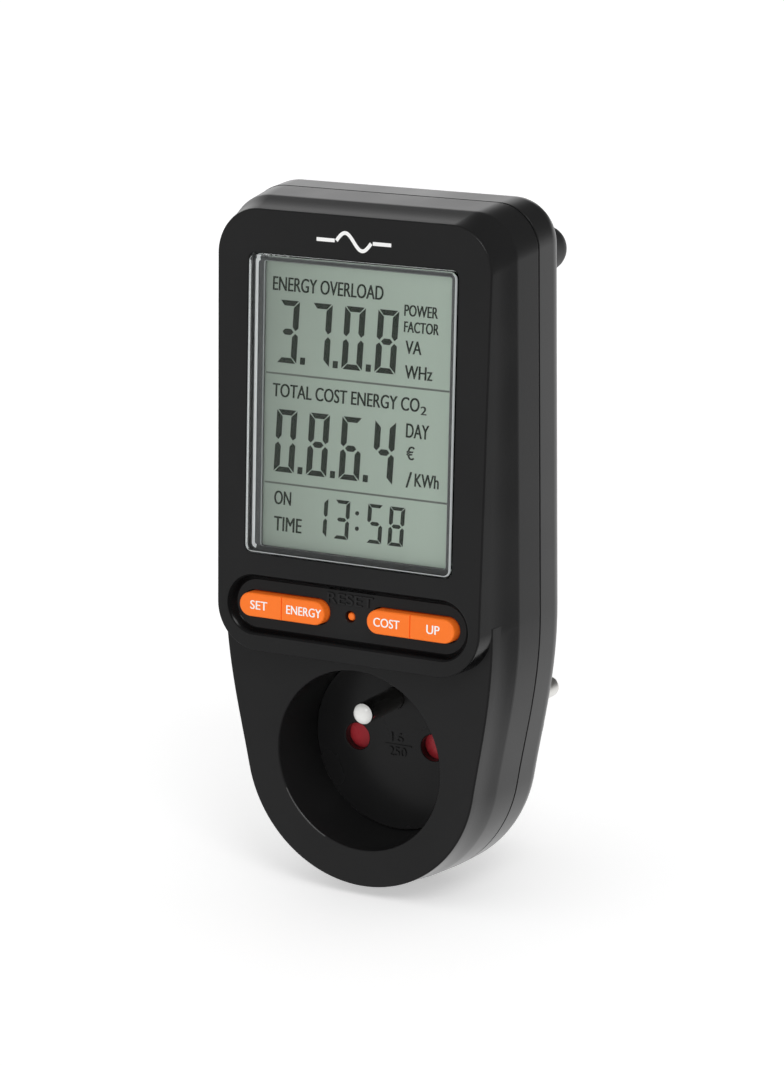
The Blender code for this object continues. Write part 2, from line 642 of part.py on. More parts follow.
def make_keys():
    middle = (KEY_INNER_END + KEY_OUTER_END) / 2
    top = -0.35 * MM
    body = [(top, 0.75 * MM), (top + 0.2 * MM, 0.35 * MM), (top + 0.6 * MM, 0.08 * MM), (top + 1.2 * MM, 0)]
    flange = [(TRAY_BACK + GAP, 0), (TRAY_BACK + GAP, -0.6 * MM), (6.6 * MM, -0.6 * MM)]
    inner_half = (KEY_INNER_END, middle - 0.15 * MM)
    outer_half = (middle + 0.15 * MM, KEY_OUTER_END)
    layout = (("set_key", -1, outer_half, (0, 1)), ("energy_key", -1, inner_half, (1, 0)),
              ("cost_key", 1, inner_half, (1, 0)), ("up_key", 1, outer_half, (0, 1)))
    for name, side, span, round_ends in layout:
        part(key_solid(name, side, span, round_ends, 0, body + flange), "orange_key")
        make_switch(name.replace("key", "switch"), side * (span[0] + span[1]) / 2)

    pin = [(0.0, 6.6 * MM), (2.2 * MM, 6.6 * MM), (2.2 * MM, TRAY_BACK + GAP), (0.9 * MM, TRAY_BACK + GAP),
           (0.9 * MM, 2.6 * MM), (0.6 * MM, 2.3 * MM), (0.0, 2.3 * MM)]
    part(turned("reset_key", pin, (0, RESET_HEIGHT), CONSOLE, 16), "orange_key")
    make_switch("reset_switch", 0)


def make_switch(name, x):
    """A push switch on the display board: a square body and the plunger that its key presses."""
    front = 7.7 * MM
    half = 3 * MM
    low = (x - half, front, KEY_HEIGHT - half)
    high = (x + half, BOARD_DEPTH - GAP, KEY_HEIGHT + half)
    place = [(x, KEY_HEIGHT)]
    body = box(name, low, high, CONSOLE, 0.3 * MM)
    cut(body, cylinders(name + "_bore", 1.95 * MM, front - 1 * MM, front + 2 * MM, place, CONSOLE, 16))
    part(body, "chip_black")
    plunger = cylinders(name + "_plunger", 1.65 * MM, front - 0.8 * MM, front + 1.2 * MM, place, CONSOLE,
                        12)
    part(plunger, "grey_rubber")


# ---------------------------------------------------------------- boards

def make_display_board():
    back = BOARD_DEPTH + BOARD_THICKNESS
    places = [(-BOARD_SCREW[0], BOARD_SCREW[1]), BOARD_SCREW]
    board = box("display_board", (-29.6 * MM, BOARD_DEPTH, 26.6 * MM), (29.6 * MM, back, 108.4 * MM),
                CONSOLE)
    cut(board, cylinders("display_board_holes", 1.1 * MM, BOARD_DEPTH - 1 * MM, back + 1 * MM, places,
                         CONSOLE, 12))
    part(board, "board_green")
    for label, place in zip(("left", "right"), places):
        name = "board_screw_" + label
        screw = turned(name, screw_profile(2 * MM, 1.4 * MM, 0.8 * MM, back + GAP, 5 * MM), place,
                       CONSOLE, 12)
        cut(screw,
            cross_recess(name + "_recess", 1.1 * MM, 0.5 * MM, back + 1 * MM, back + 3 * MM, place,
                         CONSOLE))
        part(screw, "steel")

    seat = back + GAP
    part(box("controller_chip", (-7 * MM, seat, 77.5 * MM), (7 * MM, seat + 1.6 * MM, 91.5 * MM), CONSOLE,
             0.3 * MM), "chip_black")
    crystal = [(0.0, seat + 4.3 * MM), (1.3 * MM, seat + 4.3 * MM), (1.5 * MM, seat + 4.1 * MM),
               (1.5 * MM, seat),
               (0.0, seat)]
    part(turned("timing_crystal", crystal, (13 * MM, 84 * MM), CONSOLE, 16), "steel")

    battery = cylinders("backup_battery", 5.5 * MM, -8.5 * MM, 8.5 * MM, [(0, 0)], CONSOLE, 24)
    battery.location = (0, seat + 5.5 * MM, 99 * MM)
    battery.rotation_euler = (0, 0, math.radians(90))
    part(battery, "cell_green")


def make_power_board():
    front = 25 * MM
    places = [(-POWER_SCREW[0], POWER_SCREW[1]), POWER_SCREW]
    board = box("power_board", (-22 * MM, front, 27 * MM), (22 * MM, front + BOARD_THICKNESS, 73 * MM),
                BODY)
    cut(board, cylinders("power_board_holes", 1.1 * MM, front - 1 * MM, front + 3 * MM, places, BODY, 12))
    part(board, "board_green")
    for label, place in zip(("left", "right"), places):
        head = front - GAP
        profile = [(0.0, 29.5 * MM), (0.4 * MM, 29.5 * MM), (0.8 * MM, 28.8 * MM), (0.8 * MM, head),
                   (2 * MM, head),
                   (2 * MM, head - 0.8 * MM), (1.4 * MM, head - 1.4 * MM), (0.0, head - 1.4 * MM)]
        part(turned("power_screw_" + label, profile, place, BODY, 12), "steel")

    seat = front - GAP
    part(box("film_capacitor", (-19 * MM, seat - 8.5 * MM, 48 * MM), (-1 * MM, seat, 60 * MM), BODY,
             0.5 * MM),
         "cap_yellow")
    can = cylinders("smoothing_capacitor", 4 * MM, 0, 11 * MM, [(0, 0)], BODY, 24)
    can.location = (6 * MM, seat - 4 * MM, 55 * MM)
    can.rotation_euler = (0, 0, math.radians(-90))
    part(can, "cap_blue")
    varistor = cylinders("surge_varistor", 5 * MM, -1.9 * MM, 1.9 * MM, [(0, 0)], BODY, 24)
    varistor.location = (12 * MM, seat - 5 * MM, 38 * MM)
    varistor.rotation_euler = (0, 0, math.radians(90))
    part(varistor, "cap_blue")

    reach = 6 * MM
    loop = [(-14 * MM, seat, 34 * MM)]
    for x, z in arc(-9 * MM, 0, 5 * MM, 180, 0, 8):
        loop.append((x, seat - 2 * MM - z * reach / (5 * MM), 34 * MM))
    loop.append((-4 * MM, seat, 34 * MM))
    part(wire("current_shunt", loop, 0.9 * MM, BODY), "copper_alloy")
    part(box("board_link", (-6.3 * MM, 11.6 * MM, 68.9 * MM), (6.3 * MM, seat, 71.3 * MM), BODY, 0.25 * MM),
         "chip_black")


# ---------------------------------------------------------------- socket and plug

def make_socket():
    profile = [(0.0, 17.8), (18.2, 17.8), (18.2, 21.7), (22.2, 21.7), (22.2, 18.0), (19.55, 18.0),
               (19.55, 15.8), (0.0, 15.8)]
    insert = turned("socket_insert", [(radius * MM, depth * MM) for radius, depth in profile], (0, 0),
                    BODY, 48)
    pin_places = [(-PIN_PITCH / 2, 0), (PIN_PITCH / 2, 0)]
    for side, label in ((-1, "left"), (1, "right")):
        low, high = sorted((side * 14.2 * MM, side * 15.4 * MM))
        join(insert,
             box(label + "_shutter_rail", (low, 17 * MM, -8.5 * MM), (high, 21.3 * MM, 8.5 * MM), BODY))
    cut(insert,
        cylinders("socket_holes", HOLE_RADIUS, 14 * MM, 19 * MM, pin_places, BODY, 28),
        cylinders("earth_pin_hole", PIN_RADIUS + GAP, 14 * MM, 19 * MM, [(0, EARTH_HEIGHT)], BODY, 24))
    part(insert, "black_gloss")

    base = cylinders("contact_base", 21.8 * MM, 22 * MM, 24.5 * MM, [(0, 0)], BODY, 32)
    join(base, box("contact_block", (-16 * MM, 24 * MM, -7 * MM), (16 * MM, 29.2 * MM, 14 * MM), BODY))
    cut(base,
        cylinders("contact_bores", 3.6 * MM, 21 * MM, 32 * MM, pin_places, BODY, 24),
        cylinders("earth_bore", PIN_RADIUS + GAP, 21 * MM, 32 * MM, [(0, EARTH_HEIGHT)], BODY, 24))
    part(base, "base_grey")

    for side, label in ((-1, "left"), (1, "right")):
        x = side * PIN_PITCH / 2
        contact = cylinders("socket_contact_" + label, 3.3 * MM, 22.5 * MM, 33 * MM, [(x, 0)], BODY, 20)
        join(contact,
             box(label + "_contact_tail", (x - 1.5 * MM, 32 * MM, -3.3 * MM),
                 (x + 1.5 * MM, 44.6 * MM, -2.4 * MM),
                          BODY))
        cut(contact,
            cylinders(label + "_contact_bore", 2.45 * MM, 21 * MM, 34 * MM, [(x, 0)], BODY, 20),
            box(label + "_contact_split", (x - 0.5 * MM, 21 * MM, 1 * MM),
                (x + 0.5 * MM, 34 * MM, 5 * MM), BODY))
        part(contact, "brass")

    tip = WELL_DEPTH - EARTH_PIN_LENGTH
    pin_end = 37.5 * MM
    profile = [(0.0, pin_end), (PIN_RADIUS, pin_end)] + pin_tip(tip, 1)
    part(turned("earth_pin", profile, (0, EARTH_HEIGHT), BODY, 24), "nickel")
    part(box("earth_strap", (-2.4 * MM, 37.8 * MM, -12.9 * MM), (2.4 * MM, 38.6 * MM, 12.9 * MM), BODY),
         "brass")


def pin_tip(end, direction):
    """The rounded end of a pin, as profile points from its side to its axis."""
    round_off = 1.6 * MM
    flat = PIN_RADIUS - round_off
    points = []
    for angle in (0, 22.5, 45, 67.5, 90):
        turn = math.radians(angle)
        points.append((flat + round_off * math.cos(turn),
                       end + direction * round_off * (1 - math.sin(turn))))
    return points + [(0.0, end)]


def make_shutter():
    """A plate behind the two holes. A sloping face under each hole lets a plug's pins push it down."""
    front = 18.1 * MM
    back = 21.6 * MM
    half_x, half_z = SHUTTER_HALF
    shutter = box("shutter", (-half_x, front, -half_z), (half_x, back, half_z), BODY, 0.3 * MM)
    for side, label in ((-1, "left"), (1, "right")):
        x = side * PIN_PITCH / 2
        wedge = box(label + "_shutter_ramp", (-3.4 * MM, -4 * MM, -6 * MM), (3.4 * MM, 0, 8 * MM), BODY)
        wedge.location = (x, front - 1.2 * MM, 0)
        wedge.rotation_euler = (math.radians(-24), 0, 0)
        cut(shutter, wedge)
    part(shutter, "red_shutter")

    turns = 5
    points_per_turn = 9
    low = -17.4 * MM
    high = -half_z - 0.4 * MM
    radius = 1.35 * MM
    points = []
    for i in range(turns * points_per_turn + 1):
        angle = 2 * math.pi * i / points_per_turn
        height = low + 0.25 * MM + (high - low - 0.5 * MM) * i / (turns * points_per_turn)
        points.append((radius * math.cos(angle), 19.85 * MM + radius * math.sin(angle), height))
    part(wire("shutter_spring", points, 0.22 * MM, BODY), "steel")


def make_plug():
    for side, label in ((-1, "left"), (1, "right")):
        end = SOCKET_TO_PLUG + PLUG_PIN_LENGTH
        start = 44.9 * MM
        profile = pin_tip(end, -1)[::-1] + [(PIN_RADIUS, start), (0.0, start)]
        part(turned("plug_pin_" + label, profile, (side * PIN_PITCH / 2, 0), BODY, 24), "nickel")
    part(tube("plug_earth_contact", 3.1 * MM, 2.5 * MM, 38.9 * MM, 47.2 * MM, (0, EARTH_HEIGHT), BODY,
              20), "brass")

    path = [(38.2, 13.3), (38.2, 16.9), (39.4, 17.4), (42.0, 18.2), (45.0, 19.0), (47.0, 19.1),
            (49.0, 18.4),
            (51.2, 16.9)]
    for side, label in ((1, "top"), (-1, "bottom")):
        points = [(depth * MM, side * z * MM) for depth, z in path]
        part(ribbon("earth_clip_" + label, points, 6.4 * MM, 0.6 * MM, BODY), "nickel")


clear_scene()
PARTS = new_collection("plug_in_power_meter")
TOOLS = new_collection("cutters")
BODY = empty("body_frame", None, (0, -SOCKET_TO_PLUG, 0))
CONSOLE = empty("console_frame", BODY, (0, -CONSOLE_PROUD, 0), (-CONSOLE_TILT, 0, 0))
make_front_housing()
make_rear_housing()
make_plug_base()
make_feet()
make_case_screws()
make_display()
make_keys()
make_display_board()
make_power_board()
make_socket()
make_shutter()
make_plug()
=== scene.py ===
import json
import math

import bmesh
import bpy
from mathutils import Matrix, Vector


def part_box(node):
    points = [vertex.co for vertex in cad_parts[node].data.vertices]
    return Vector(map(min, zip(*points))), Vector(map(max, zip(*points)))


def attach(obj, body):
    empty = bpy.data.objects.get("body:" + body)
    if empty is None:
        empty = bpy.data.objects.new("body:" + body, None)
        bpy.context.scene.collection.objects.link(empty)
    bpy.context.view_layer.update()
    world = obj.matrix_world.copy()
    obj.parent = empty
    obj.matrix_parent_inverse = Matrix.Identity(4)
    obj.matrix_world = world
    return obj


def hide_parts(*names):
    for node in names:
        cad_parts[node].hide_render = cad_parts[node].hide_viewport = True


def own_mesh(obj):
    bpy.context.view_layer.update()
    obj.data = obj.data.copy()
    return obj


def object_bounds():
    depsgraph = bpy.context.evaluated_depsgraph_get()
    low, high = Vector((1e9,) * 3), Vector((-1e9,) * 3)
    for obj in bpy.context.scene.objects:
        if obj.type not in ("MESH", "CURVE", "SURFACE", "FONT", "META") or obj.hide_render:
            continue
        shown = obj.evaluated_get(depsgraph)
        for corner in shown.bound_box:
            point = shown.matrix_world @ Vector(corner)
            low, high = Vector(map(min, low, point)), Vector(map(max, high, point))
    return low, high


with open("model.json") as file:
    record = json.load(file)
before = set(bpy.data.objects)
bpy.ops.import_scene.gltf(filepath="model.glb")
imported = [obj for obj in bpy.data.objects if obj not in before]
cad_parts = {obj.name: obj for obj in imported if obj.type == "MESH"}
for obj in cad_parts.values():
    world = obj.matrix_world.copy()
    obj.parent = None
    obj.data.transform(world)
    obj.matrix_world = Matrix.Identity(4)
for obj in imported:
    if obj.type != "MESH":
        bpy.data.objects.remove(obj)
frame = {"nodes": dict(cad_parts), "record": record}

CAD_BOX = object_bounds()
MM = 0.001


def low(node):
    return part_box(node)[0] / MM


def high(node):
    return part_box(node)[1] / MM


def depths(node):
    """Where a node starts and ends, behind the socket's face."""
    return low(node).y + SOCKET_TO_PLUG, high(node).y + SOCKET_TO_PLUG


# ---- sizes, read from the frame where it has them
SOCKET_TO_PLUG = 52.0
GAP = 0.3
RIDGE = (8.9, 34.6, 119.7, 9.4, 29.4)  # depth, half width, top, upper corner, lower arc
SEAM_DEPTH = (depths("front_housing")[1] + depths("rear_housing")[0]) / 2
SEAM = (SEAM_DEPTH, 35.4, 120.5, 9.4, 30.1)
BELT = (23.9, high("rear_housing").x, high("rear_housing").z, 9.4, 30.4)
BACK_DEPTH = depths("rear_housing")[1]
BAND_FLARE = 0.19
TOP_FLARE = 0.24
FACE_ARC = 28.2
COVE = (0.5, 0.2)  # the front band's hollow: where along it, and how deep
BAND_ROUNDING = (2.6, 0.45, 0.22)  # at the hollow, the ridge and the seam
FLANK_START = 33.5
FLANK_LEAD = (15.5, 11.6)
ARC_START = math.radians(10)
RIM_SLOPE = math.radians(38)
RIM_EDGE = 3.0
WALL = 2.2
CONSOLE_TILT = math.radians(3.75)
CONSOLE_PROUD = 6.45
CONSOLE_BOTTOM = 23.0
CONSOLE_CORNER = 9.8
PROUD = 0.01  # the console's walls stand out past the lower case's
LENS_HALF = (25.15, 31.95)
LENS_CENTRE = 76.6
LENS_CORNER = 1.6
LENS_BACK = 2.7
LCD_FRAME_HALF = (26.4, 33.2)
LCD_FRAME_FRONT = 3.0
LCD_WINDOW_HALF = (22.6, 30.6)
LCD_WINDOW_CENTRE = 76.45
LCD_HALF = (24.6, 31.6)
LCD_FRONT = 3.7
LCD_BACK = 6.5
KEY_HEIGHT = 33.1
KEY_RADIUS = 2.6
KEY_SPAN = (5.2, 26.4)
KEY_TOP = -0.35
TRAY_HALF = (28.1, 5.15)
TRAY_DEPTH = 1.9
TRAY_SLOPE = 2.2
TRAY_BACK = 5.4
RESET_HEIGHT = 32.9
BOARD_DEPTH = 11.5
WELL_RADIUS = 20.0
WELL_DEPTH = 15.8
WELL_TUBE_RADIUS = 22.2
INSERT_RADIUS = 19.86  # the well's floor, just inside its wall
PIN_SIDE = 9.5
PIN_RADIUS = 2.4
EARTH_HEIGHT = 10.0
HOLE_RADIUS = 3.0
BOSS_RADIUS = 18.0
FOOT_PLACE = (21.5, 106.0)
CASE_SCREWS = [(-27.6, 112.6), (27.6, 112.6), (-25.3, 20.0), (25.3, 20.0)]
BOARD_SCREWS = [(-27.6, 41.3), (27.6, 41.3)]
POWER_SCREWS = [(-18.0, 68.0), (18.0, 68.0)]


def body(x, depth, z):
    return (x, depth - SOCKET_TO_PLUG, z)


def console(x, depth, up):
    cosine = math.cos(CONSOLE_TILT)
    sine = math.sin(CONSOLE_TILT)
    return body(x, depth * cosine + up * sine - CONSOLE_PROUD, up * cosine - depth * sine)


CONSOLE_AHEAD = (Vector(console(0, -1, 0)) - Vector(console(0, 0, 0))).normalized()
SOCKET_AHEAD = Vector((0, -1, 0))


# ---- outlines, as (x, z) points
def arc(centre_x, centre_z, radius, start, end, steps):
    points = []
    for i in range(steps + 1):
        angle = math.radians(start + (end - start) * i / steps)
        points.append((centre_x + radius * math.cos(angle), centre_z + radius * math.sin(angle)))
    return points


def bezier(controls, steps):
    """The inner points of a cubic curve in the plane, without its ends."""
    points = []
    for i in range(1, steps):
        t = i / steps
        weights = ((1 - t) ** 3, 3 * t * (1 - t) ** 2, 3 * t * t * (1 - t), t ** 3)
        points.append(tuple(sum(w * p[axis] for w, p in zip(weights, controls)) for axis in (0, 1)))
    return points


def quarter(steps):
    """Cosine and sine at even steps of a quarter turn."""
    angles = [math.pi / 2 * i / steps for i in range(steps + 1)]
    return [(math.cos(angle), math.sin(angle)) for angle in angles]


def mirrored(right):
    return right + [(-x, z) for x, z in reversed(right) if x > 1e-7]


def flank(half_width, arc_radius):
    """From the straight side's lower end round to the lowest point."""
    end = (arc_radius * math.cos(ARC_START), -arc_radius * math.sin(ARC_START))
    toward = (end[0] + FLANK_LEAD[1] * math.sin(ARC_START), end[1] + FLANK_LEAD[1] * math.cos(ARC_START))
    start = (half_width, FLANK_START)
    points = [start] + bezier((start, (half_width, FLANK_START - FLANK_LEAD[0]), toward, end), 16)
    points += arc(0, 0, arc_radius, -math.degrees(ARC_START), -90, 26)
    points[-1] = (0.0, -arc_radius)
    return points


def case_outline(half_width, top, corner, arc_radius):
    right = arc(half_width - corner, top - corner, corner, 90, 0, 18)
    return mirrored(right + flank(half_width, arc_radius))


def lower_outline(half_width, top, arc_radius):
    """The case's outline cut off straight at a height, and narrower where the console's walls take over."""
    narrow = half_width - 0.6
    return mirrored([(narrow, top), (narrow, FLANK_START + 0.2)] + flank(half_width, arc_radius))


def panel_outline(half_width, top, bottom, top_corner, bottom_corner, steps=18):
    right = arc(half_width - top_corner, top - top_corner, top_corner, 90, 0, steps)
    right += arc(half_width - bottom_corner, bottom + bottom_corner, bottom_corner, 0, -90, steps)
    return mirrored(right)


def rectangle(half_x, half_z, centre_z, corner, steps=8):
    return panel_outline(half_x, centre_z + half_z, centre_z - half_z, corner, corner, steps)


def stadium(half_width, radius, centre_z, steps=20):
    return panel_outline(half_width, centre_z + radius, centre_z - radius, radius, radius, steps)


def circle(radius, x=0.0, z=0.0, sides=64):
    return [(x + radius * math.cos(math.tau * i / sides), z + radius * math.sin(math.tau * i / sides))
            for i in range(sides)]


# ---- meshes
def new_object(name, work):
    """A mesh object from a bmesh in millimetres."""
    bmesh.ops.remove_doubles(work, verts=work.verts, dist=0.0005)
    bmesh.ops.recalc_face_normals(work, faces=work.faces)
    bmesh.ops.scale(work, vec=(MM, MM, MM), verts=work.verts)
    mesh = bpy.data.meshes.new(name)
    work.to_mesh(mesh)
    work.free()
    made = bpy.data.objects.new(name, mesh)
    bpy.context.scene.collection.objects.link(made)
    return made


def skin(name, rings):
    """A closed body through rings of 3-D points, with flat caps."""
    work = bmesh.new()
    rows = [[work.verts.new(point) for point in ring] for ring in rings]
    for row, following in zip(rows, rows[1:]):
        for i in range(len(row)):
            j = (i + 1) % len(row)
            work.faces.new((row[i], row[j], following[j], following[i]))
    work.faces.new(rows[0])
    work.faces.new(rows[-1])
    return new_object(name, work)


def loft(name, sections, place=body):
    """A closed body through outlines given as (depth, [(x, z), ...])."""
    return skin(name, [[place(x, depth, z) for x, z in outline] for depth, outline in sections])


def rounded(points, reach, steps=5):
    """Rounds the inner corners of a flat polyline; reach has one length for each, or 0 to keep it sharp."""
    path = [points[0]]
    for before, corner, after, length in zip(points, points[1:], points[2:], reach):
        if not length:
            path.append(corner)
            continue
        ends = []
        for other in (before, after):
            share = min(0.5, length / math.dist(corner, other))
            ends.append([c + (o - c) * share for c, o in zip(corner, other)])
        for i in range(steps + 1):
            t = i / steps
            weights = ((1 - t) ** 2, 2 * t * (1 - t), t * t)
            places = (ends[0], corner, ends[1])
            path.append([sum(w * p[axis] for w, p in zip(weights, places)) for axis in (0, 1)])
    path.append(points[-1])
    return path


def ruled(rows, reach, steps):
    """Rings between outlines of (depth, x, z) points, rounded from ring to ring, in the part's frame."""
    paths = []
    for points in zip(*rows):
        points = [Vector(point) for point in points]
        path = [points[0]]
        for before, corner, after, length in zip(points, points[1:], points[2:], reach):
            ends = []
            for other in (before, after):
                along = other - corner
                ends.append(corner + along * min(0.49, length / max(along.length, 1e-6)))
            for i in range(steps + 1):
                t = i / steps
                path.append(ends[0] * (1 - t) ** 2 + corner * (2 * t * (1 - t)) + ends[1] * t * t)
        path.append(points[-1])
        paths.append(path)
    return [[body(x, depth, z) for depth, x, z in ring] for ring in zip(*paths)]


def turned(name, profile, x=0.0, z=0.0, place=body, sides=64):
    """A body turned about an axis along depth, through (depth, radius) points; it may be an open profile
    whose ends lie on the axis, or a ring whose profile closes."""
    work = bmesh.new()
    rows = []
    for depth, radius in profile:
        if radius < 1e-6:
            rows.append([work.verts.new(place(x, depth, z))])
            continue
        rows.append([work.verts.new(place(across, depth, up)) for across, up in circle(radius, x, z, sides)])
    for row, following in zip(rows, rows[1:]):
        for i in range(sides):
            j = (i + 1) % sides
            corners = [row[i % len(row)], row[j % len(row)]]
            corners += [following[j % len(following)], following[i % len(following)]]
            work.faces.new(list(dict.fromkeys(corners)))
    return new_object(name, work)


def rod(name, start, end, radius, x=0.0, z=0.0, place=body, sides=64):
    """A plain cylinder along depth."""
    return turned(name, [(start, 0), (start, radius), (end, radius), (end, 0)], x, z, place, sides)


def block(name, low_corner, high_corner, bevel=0.0, place=body):
    """A box with rounded edges, in the body or the console frame."""
    work = bmesh.new()
    bmesh.ops.create_cube(work, size=1.0)
    if bevel:
        size = [b - a for a, b in zip(low_corner, high_corner)]
        bmesh.ops.scale(work, vec=size, verts=work.verts)
        bmesh.ops.bevel(work, geom=work.edges[:], offset=bevel, segments=2, profile=0.5, affect='EDGES')
        bmesh.ops.scale(work, vec=[1 / s for s in size], verts=work.verts)
    for vert in work.verts:
        at = [a + (c + 0.5) * (b - a) for a, b, c in zip(low_corner, high_corner, vert.co)]
        vert.co = place(*at)
    return new_object(name, work)


def tube_along(name, points, radius, sides=12):
    """A round wire along points in the part's frame."""
    path = [Vector(p) for p in points]
    rings = []
    normal = None
    for i, point in enumerate(path):
        tangent = (path[min(i + 1, len(path) - 1)] - path[max(i - 1, 0)]).normalized()
        if normal is None:
            normal = tangent.orthogonal().normalized()
        normal = (normal - tangent * normal.dot(tangent)).normalized()
        across = tangent.cross(normal)
        rings.append([point + normal * u + across * v for u, v in circle(radius, sides=sides)])
    return skin(name, rings)


def apply_modifiers(target):
    bpy.context.view_layer.update()
    evaluated = target.evaluated_get(bpy.context.evaluated_depsgraph_get())
    mesh = bpy.data.meshes.new_from_object(evaluated)
    target.modifiers.clear()
    old = target.data
    target.data = mesh
    bpy.data.meshes.remove(old)
    return target


def combine(target, operation, *others):
    for other in others:
        modifier = target.modifiers.new(other.name, 'BOOLEAN')
        modifier.operation = operation
        modifier.solver = 'EXACT'
        modifier.object = other
    apply_modifiers(target)
    for other in others:
        bpy.data.objects.remove(other)
    return target


def cut(target, *cutters):
    return combine(target, 'DIFFERENCE', *cutters)


def join(target, *additions):
    return combine(target, 'UNION', *additions)


def tidy(target, angle=32.0):
    """Closes what the cuts left open, then shades smoothly, with flat faces flat and sharp edges sharp."""
    work = bmesh.new()
    work.from_mesh(target.data)
    bmesh.ops.remove_doubles(work, verts=work.verts, dist=0.000001)
    bmesh.ops.dissolve_degenerate(work, edges=work.edges, dist=0.000002)
    bmesh.ops.delete(work, geom=[edge for edge in work.edges if not edge.link_faces], context='EDGES')
    bmesh.ops.delete(work, geom=[vert for vert in work.verts if not vert.link_edges], context='VERTS')
    gaps = [edge for edge in work.edges if len(edge.link_faces) == 1]
    if gaps:
        bmesh.ops.holes_fill(work, edges=gaps, sides=0)
        bmesh.ops.recalc_face_normals(work, faces=work.faces)
    work.to_mesh(target.data)
    work.free()
    target.data.shade_smooth()
    target.data.set_sharp_from_angle(angle=math.radians(angle))
    weighted = target.modifiers.new("weighted", 'WEIGHTED_NORMAL')
    weighted.keep_sharp = True
    weighted.weight = 80
    return target


def piece(made, material, rides, stands_for=(), angle=32.0):
    """Gives a new piece its shading, finish, body and the CAD nodes it stands for."""
    tidy(made, angle)
    made.data.materials.clear()
    made.data.materials.append(material)
    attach(made, rides)
    if stands_for:
        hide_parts(*stands_for)
    return made


def standard(made, slot, node, rides, angle=32.0):
    """A fine piece that stands for a CAD node, in its material slot's own finish."""
    return piece(made, MATERIALS[slot], rides, [node], angle)


def depth_of(face):
    """How far a face's middle lies behind the socket's face, in millimetres."""
    return face.center.y / MM + SOCKET_TO_PLUG


def lower_left(centre, radius, reach):
    """Whether a face lies on the lower left of a ring about the socket's axis, where the rims get their
    painted highlight.
    """
    angle = math.degrees(math.atan2(centre.z, centre.x)) % 360
    return abs(math.hypot(centre.x, centre.z) / MM - radius) < reach and 206 < angle < 244


def paint(made, material, outward, chosen):
    """Gives a second material to chosen faces. chosen sees how far a face looks outward, and the face."""
    made.data.materials.append(material)
    for face in made.data.polygons:
        if chosen(face.normal.dot(outward), face):
            face.material_index = len(made.data.materials) - 1


# ---- materials
def set_inputs(node, inputs):
    """Sets a node's inputs by name or number; each takes a value or another node's output."""
    for label, value in inputs.items():
        if isinstance(value, bpy.types.NodeSocket):
            node.id_data.links.new(value, node.inputs[label])
        else:
            node.inputs[label].default_value = value


def add_node(tree, kind, inputs, **settings):
    node = tree.nodes.new("ShaderNode" + kind)
    for label, value in settings.items():
        setattr(node, label, value)
    set_inputs(node, inputs)
    return node


def add_maths(tree, operation, first, second):
    return add_node(tree, "Math", {0: first, 1: second}, operation=operation).outputs["Value"]


def principled(material):
    return material.node_tree.nodes["Principled BSDF"]


def shader_of(name, colour, roughness, metallic=0.0, ior=1.46):
    """A new material with its node tree and its shader."""
    material = bpy.data.materials.new(name)
    material.use_nodes = True
    shader = principled(material)
    set_inputs(shader, {"Base Color": (*colour, 1.0), "Roughness": roughness, "Metallic": metallic,
                        "IOR": ior})
    return material, material.node_tree, shader


def add_noise(tree, scale, detail=3.0, stretch=(1, 1, 1)):
    """A noise value in object space; scale is in features per metre."""
    place = add_node(tree, "TexCoord", {}).outputs["Object"]
    stretched = add_node(tree, "Mapping", {"Vector": place, "Scale": stretch}).outputs["Vector"]
    return add_node(tree, "TexNoise", {"Vector": stretched, "Scale": scale, "Detail": detail}).outputs["Fac"]


def ranged(tree, value, from_low, from_high, to_low, to_high, **settings):
    limits = {"From Min": from_low, "From Max": from_high, "To Min": to_low, "To Max": to_high}
    return add_node(tree, "MapRange", {"Value": value, **limits}, **settings).outputs["Result"]


def mixed(tree, factor, first, second):
    """A colour between two, by a factor that is a node's output."""
    inputs = {"Factor": factor, "A": (*first, 1.0), "B": (*second, 1.0)}
    return add_node(tree, "Mix", inputs, data_type='RGBA').outputs["Result"]


def bump(shader, height, strength, distance):
    node = add_node(shader.id_data, "Bump", {"Height": height, "Strength": strength, "Distance": distance})
    set_inputs(shader, {"Normal": node.outputs["Normal"]})


def moulded(name, colour, roughness, spread=0.05, grain=2600, depth=0.3, tint=0.25, ior=1.46):
    """Moulded plastic or rubber: fine surface grain, and slow changes of gloss and shade."""
    material, tree, shader = shader_of(name, colour, roughness, ior=ior)
    slow = add_noise(tree, 45, 4.0)
    darker = [c * (1 - tint) for c in colour]
    lighter = [min(1.0, c * (1 + tint)) for c in colour]
    set_inputs(shader, {"Roughness": ranged(tree, slow, 0.3, 0.7, roughness - spread, roughness + spread),
                        "Base Color": mixed(tree, slow, darker, lighter)})
    bump(shader, add_noise(tree, grain, 2.0), depth, 0.00003)
    return material


def metal(name, colour, roughness, spread=0.06):
    """Plated or stamped metal: drawn marks along the piece, and a slightly uneven tone."""
    material, tree, shader = shader_of(name, colour, roughness, 1.0)
    marks = add_noise(tree, 900, 4.0, (1, 14, 1))
    darker = [c * 0.86 for c in colour]
    lighter = [min(1.0, c * 1.06) for c in colour]
    smoother = max(0.02, roughness - spread)
    set_inputs(shader, {"Roughness": ranged(tree, marks, 0.3, 0.7, smoother, roughness + spread),
                        "Base Color": mixed(tree, add_noise(tree, 120, 3.0), darker, lighter)})
    bump(shader, marks, 0.08, 0.00001)
    return material


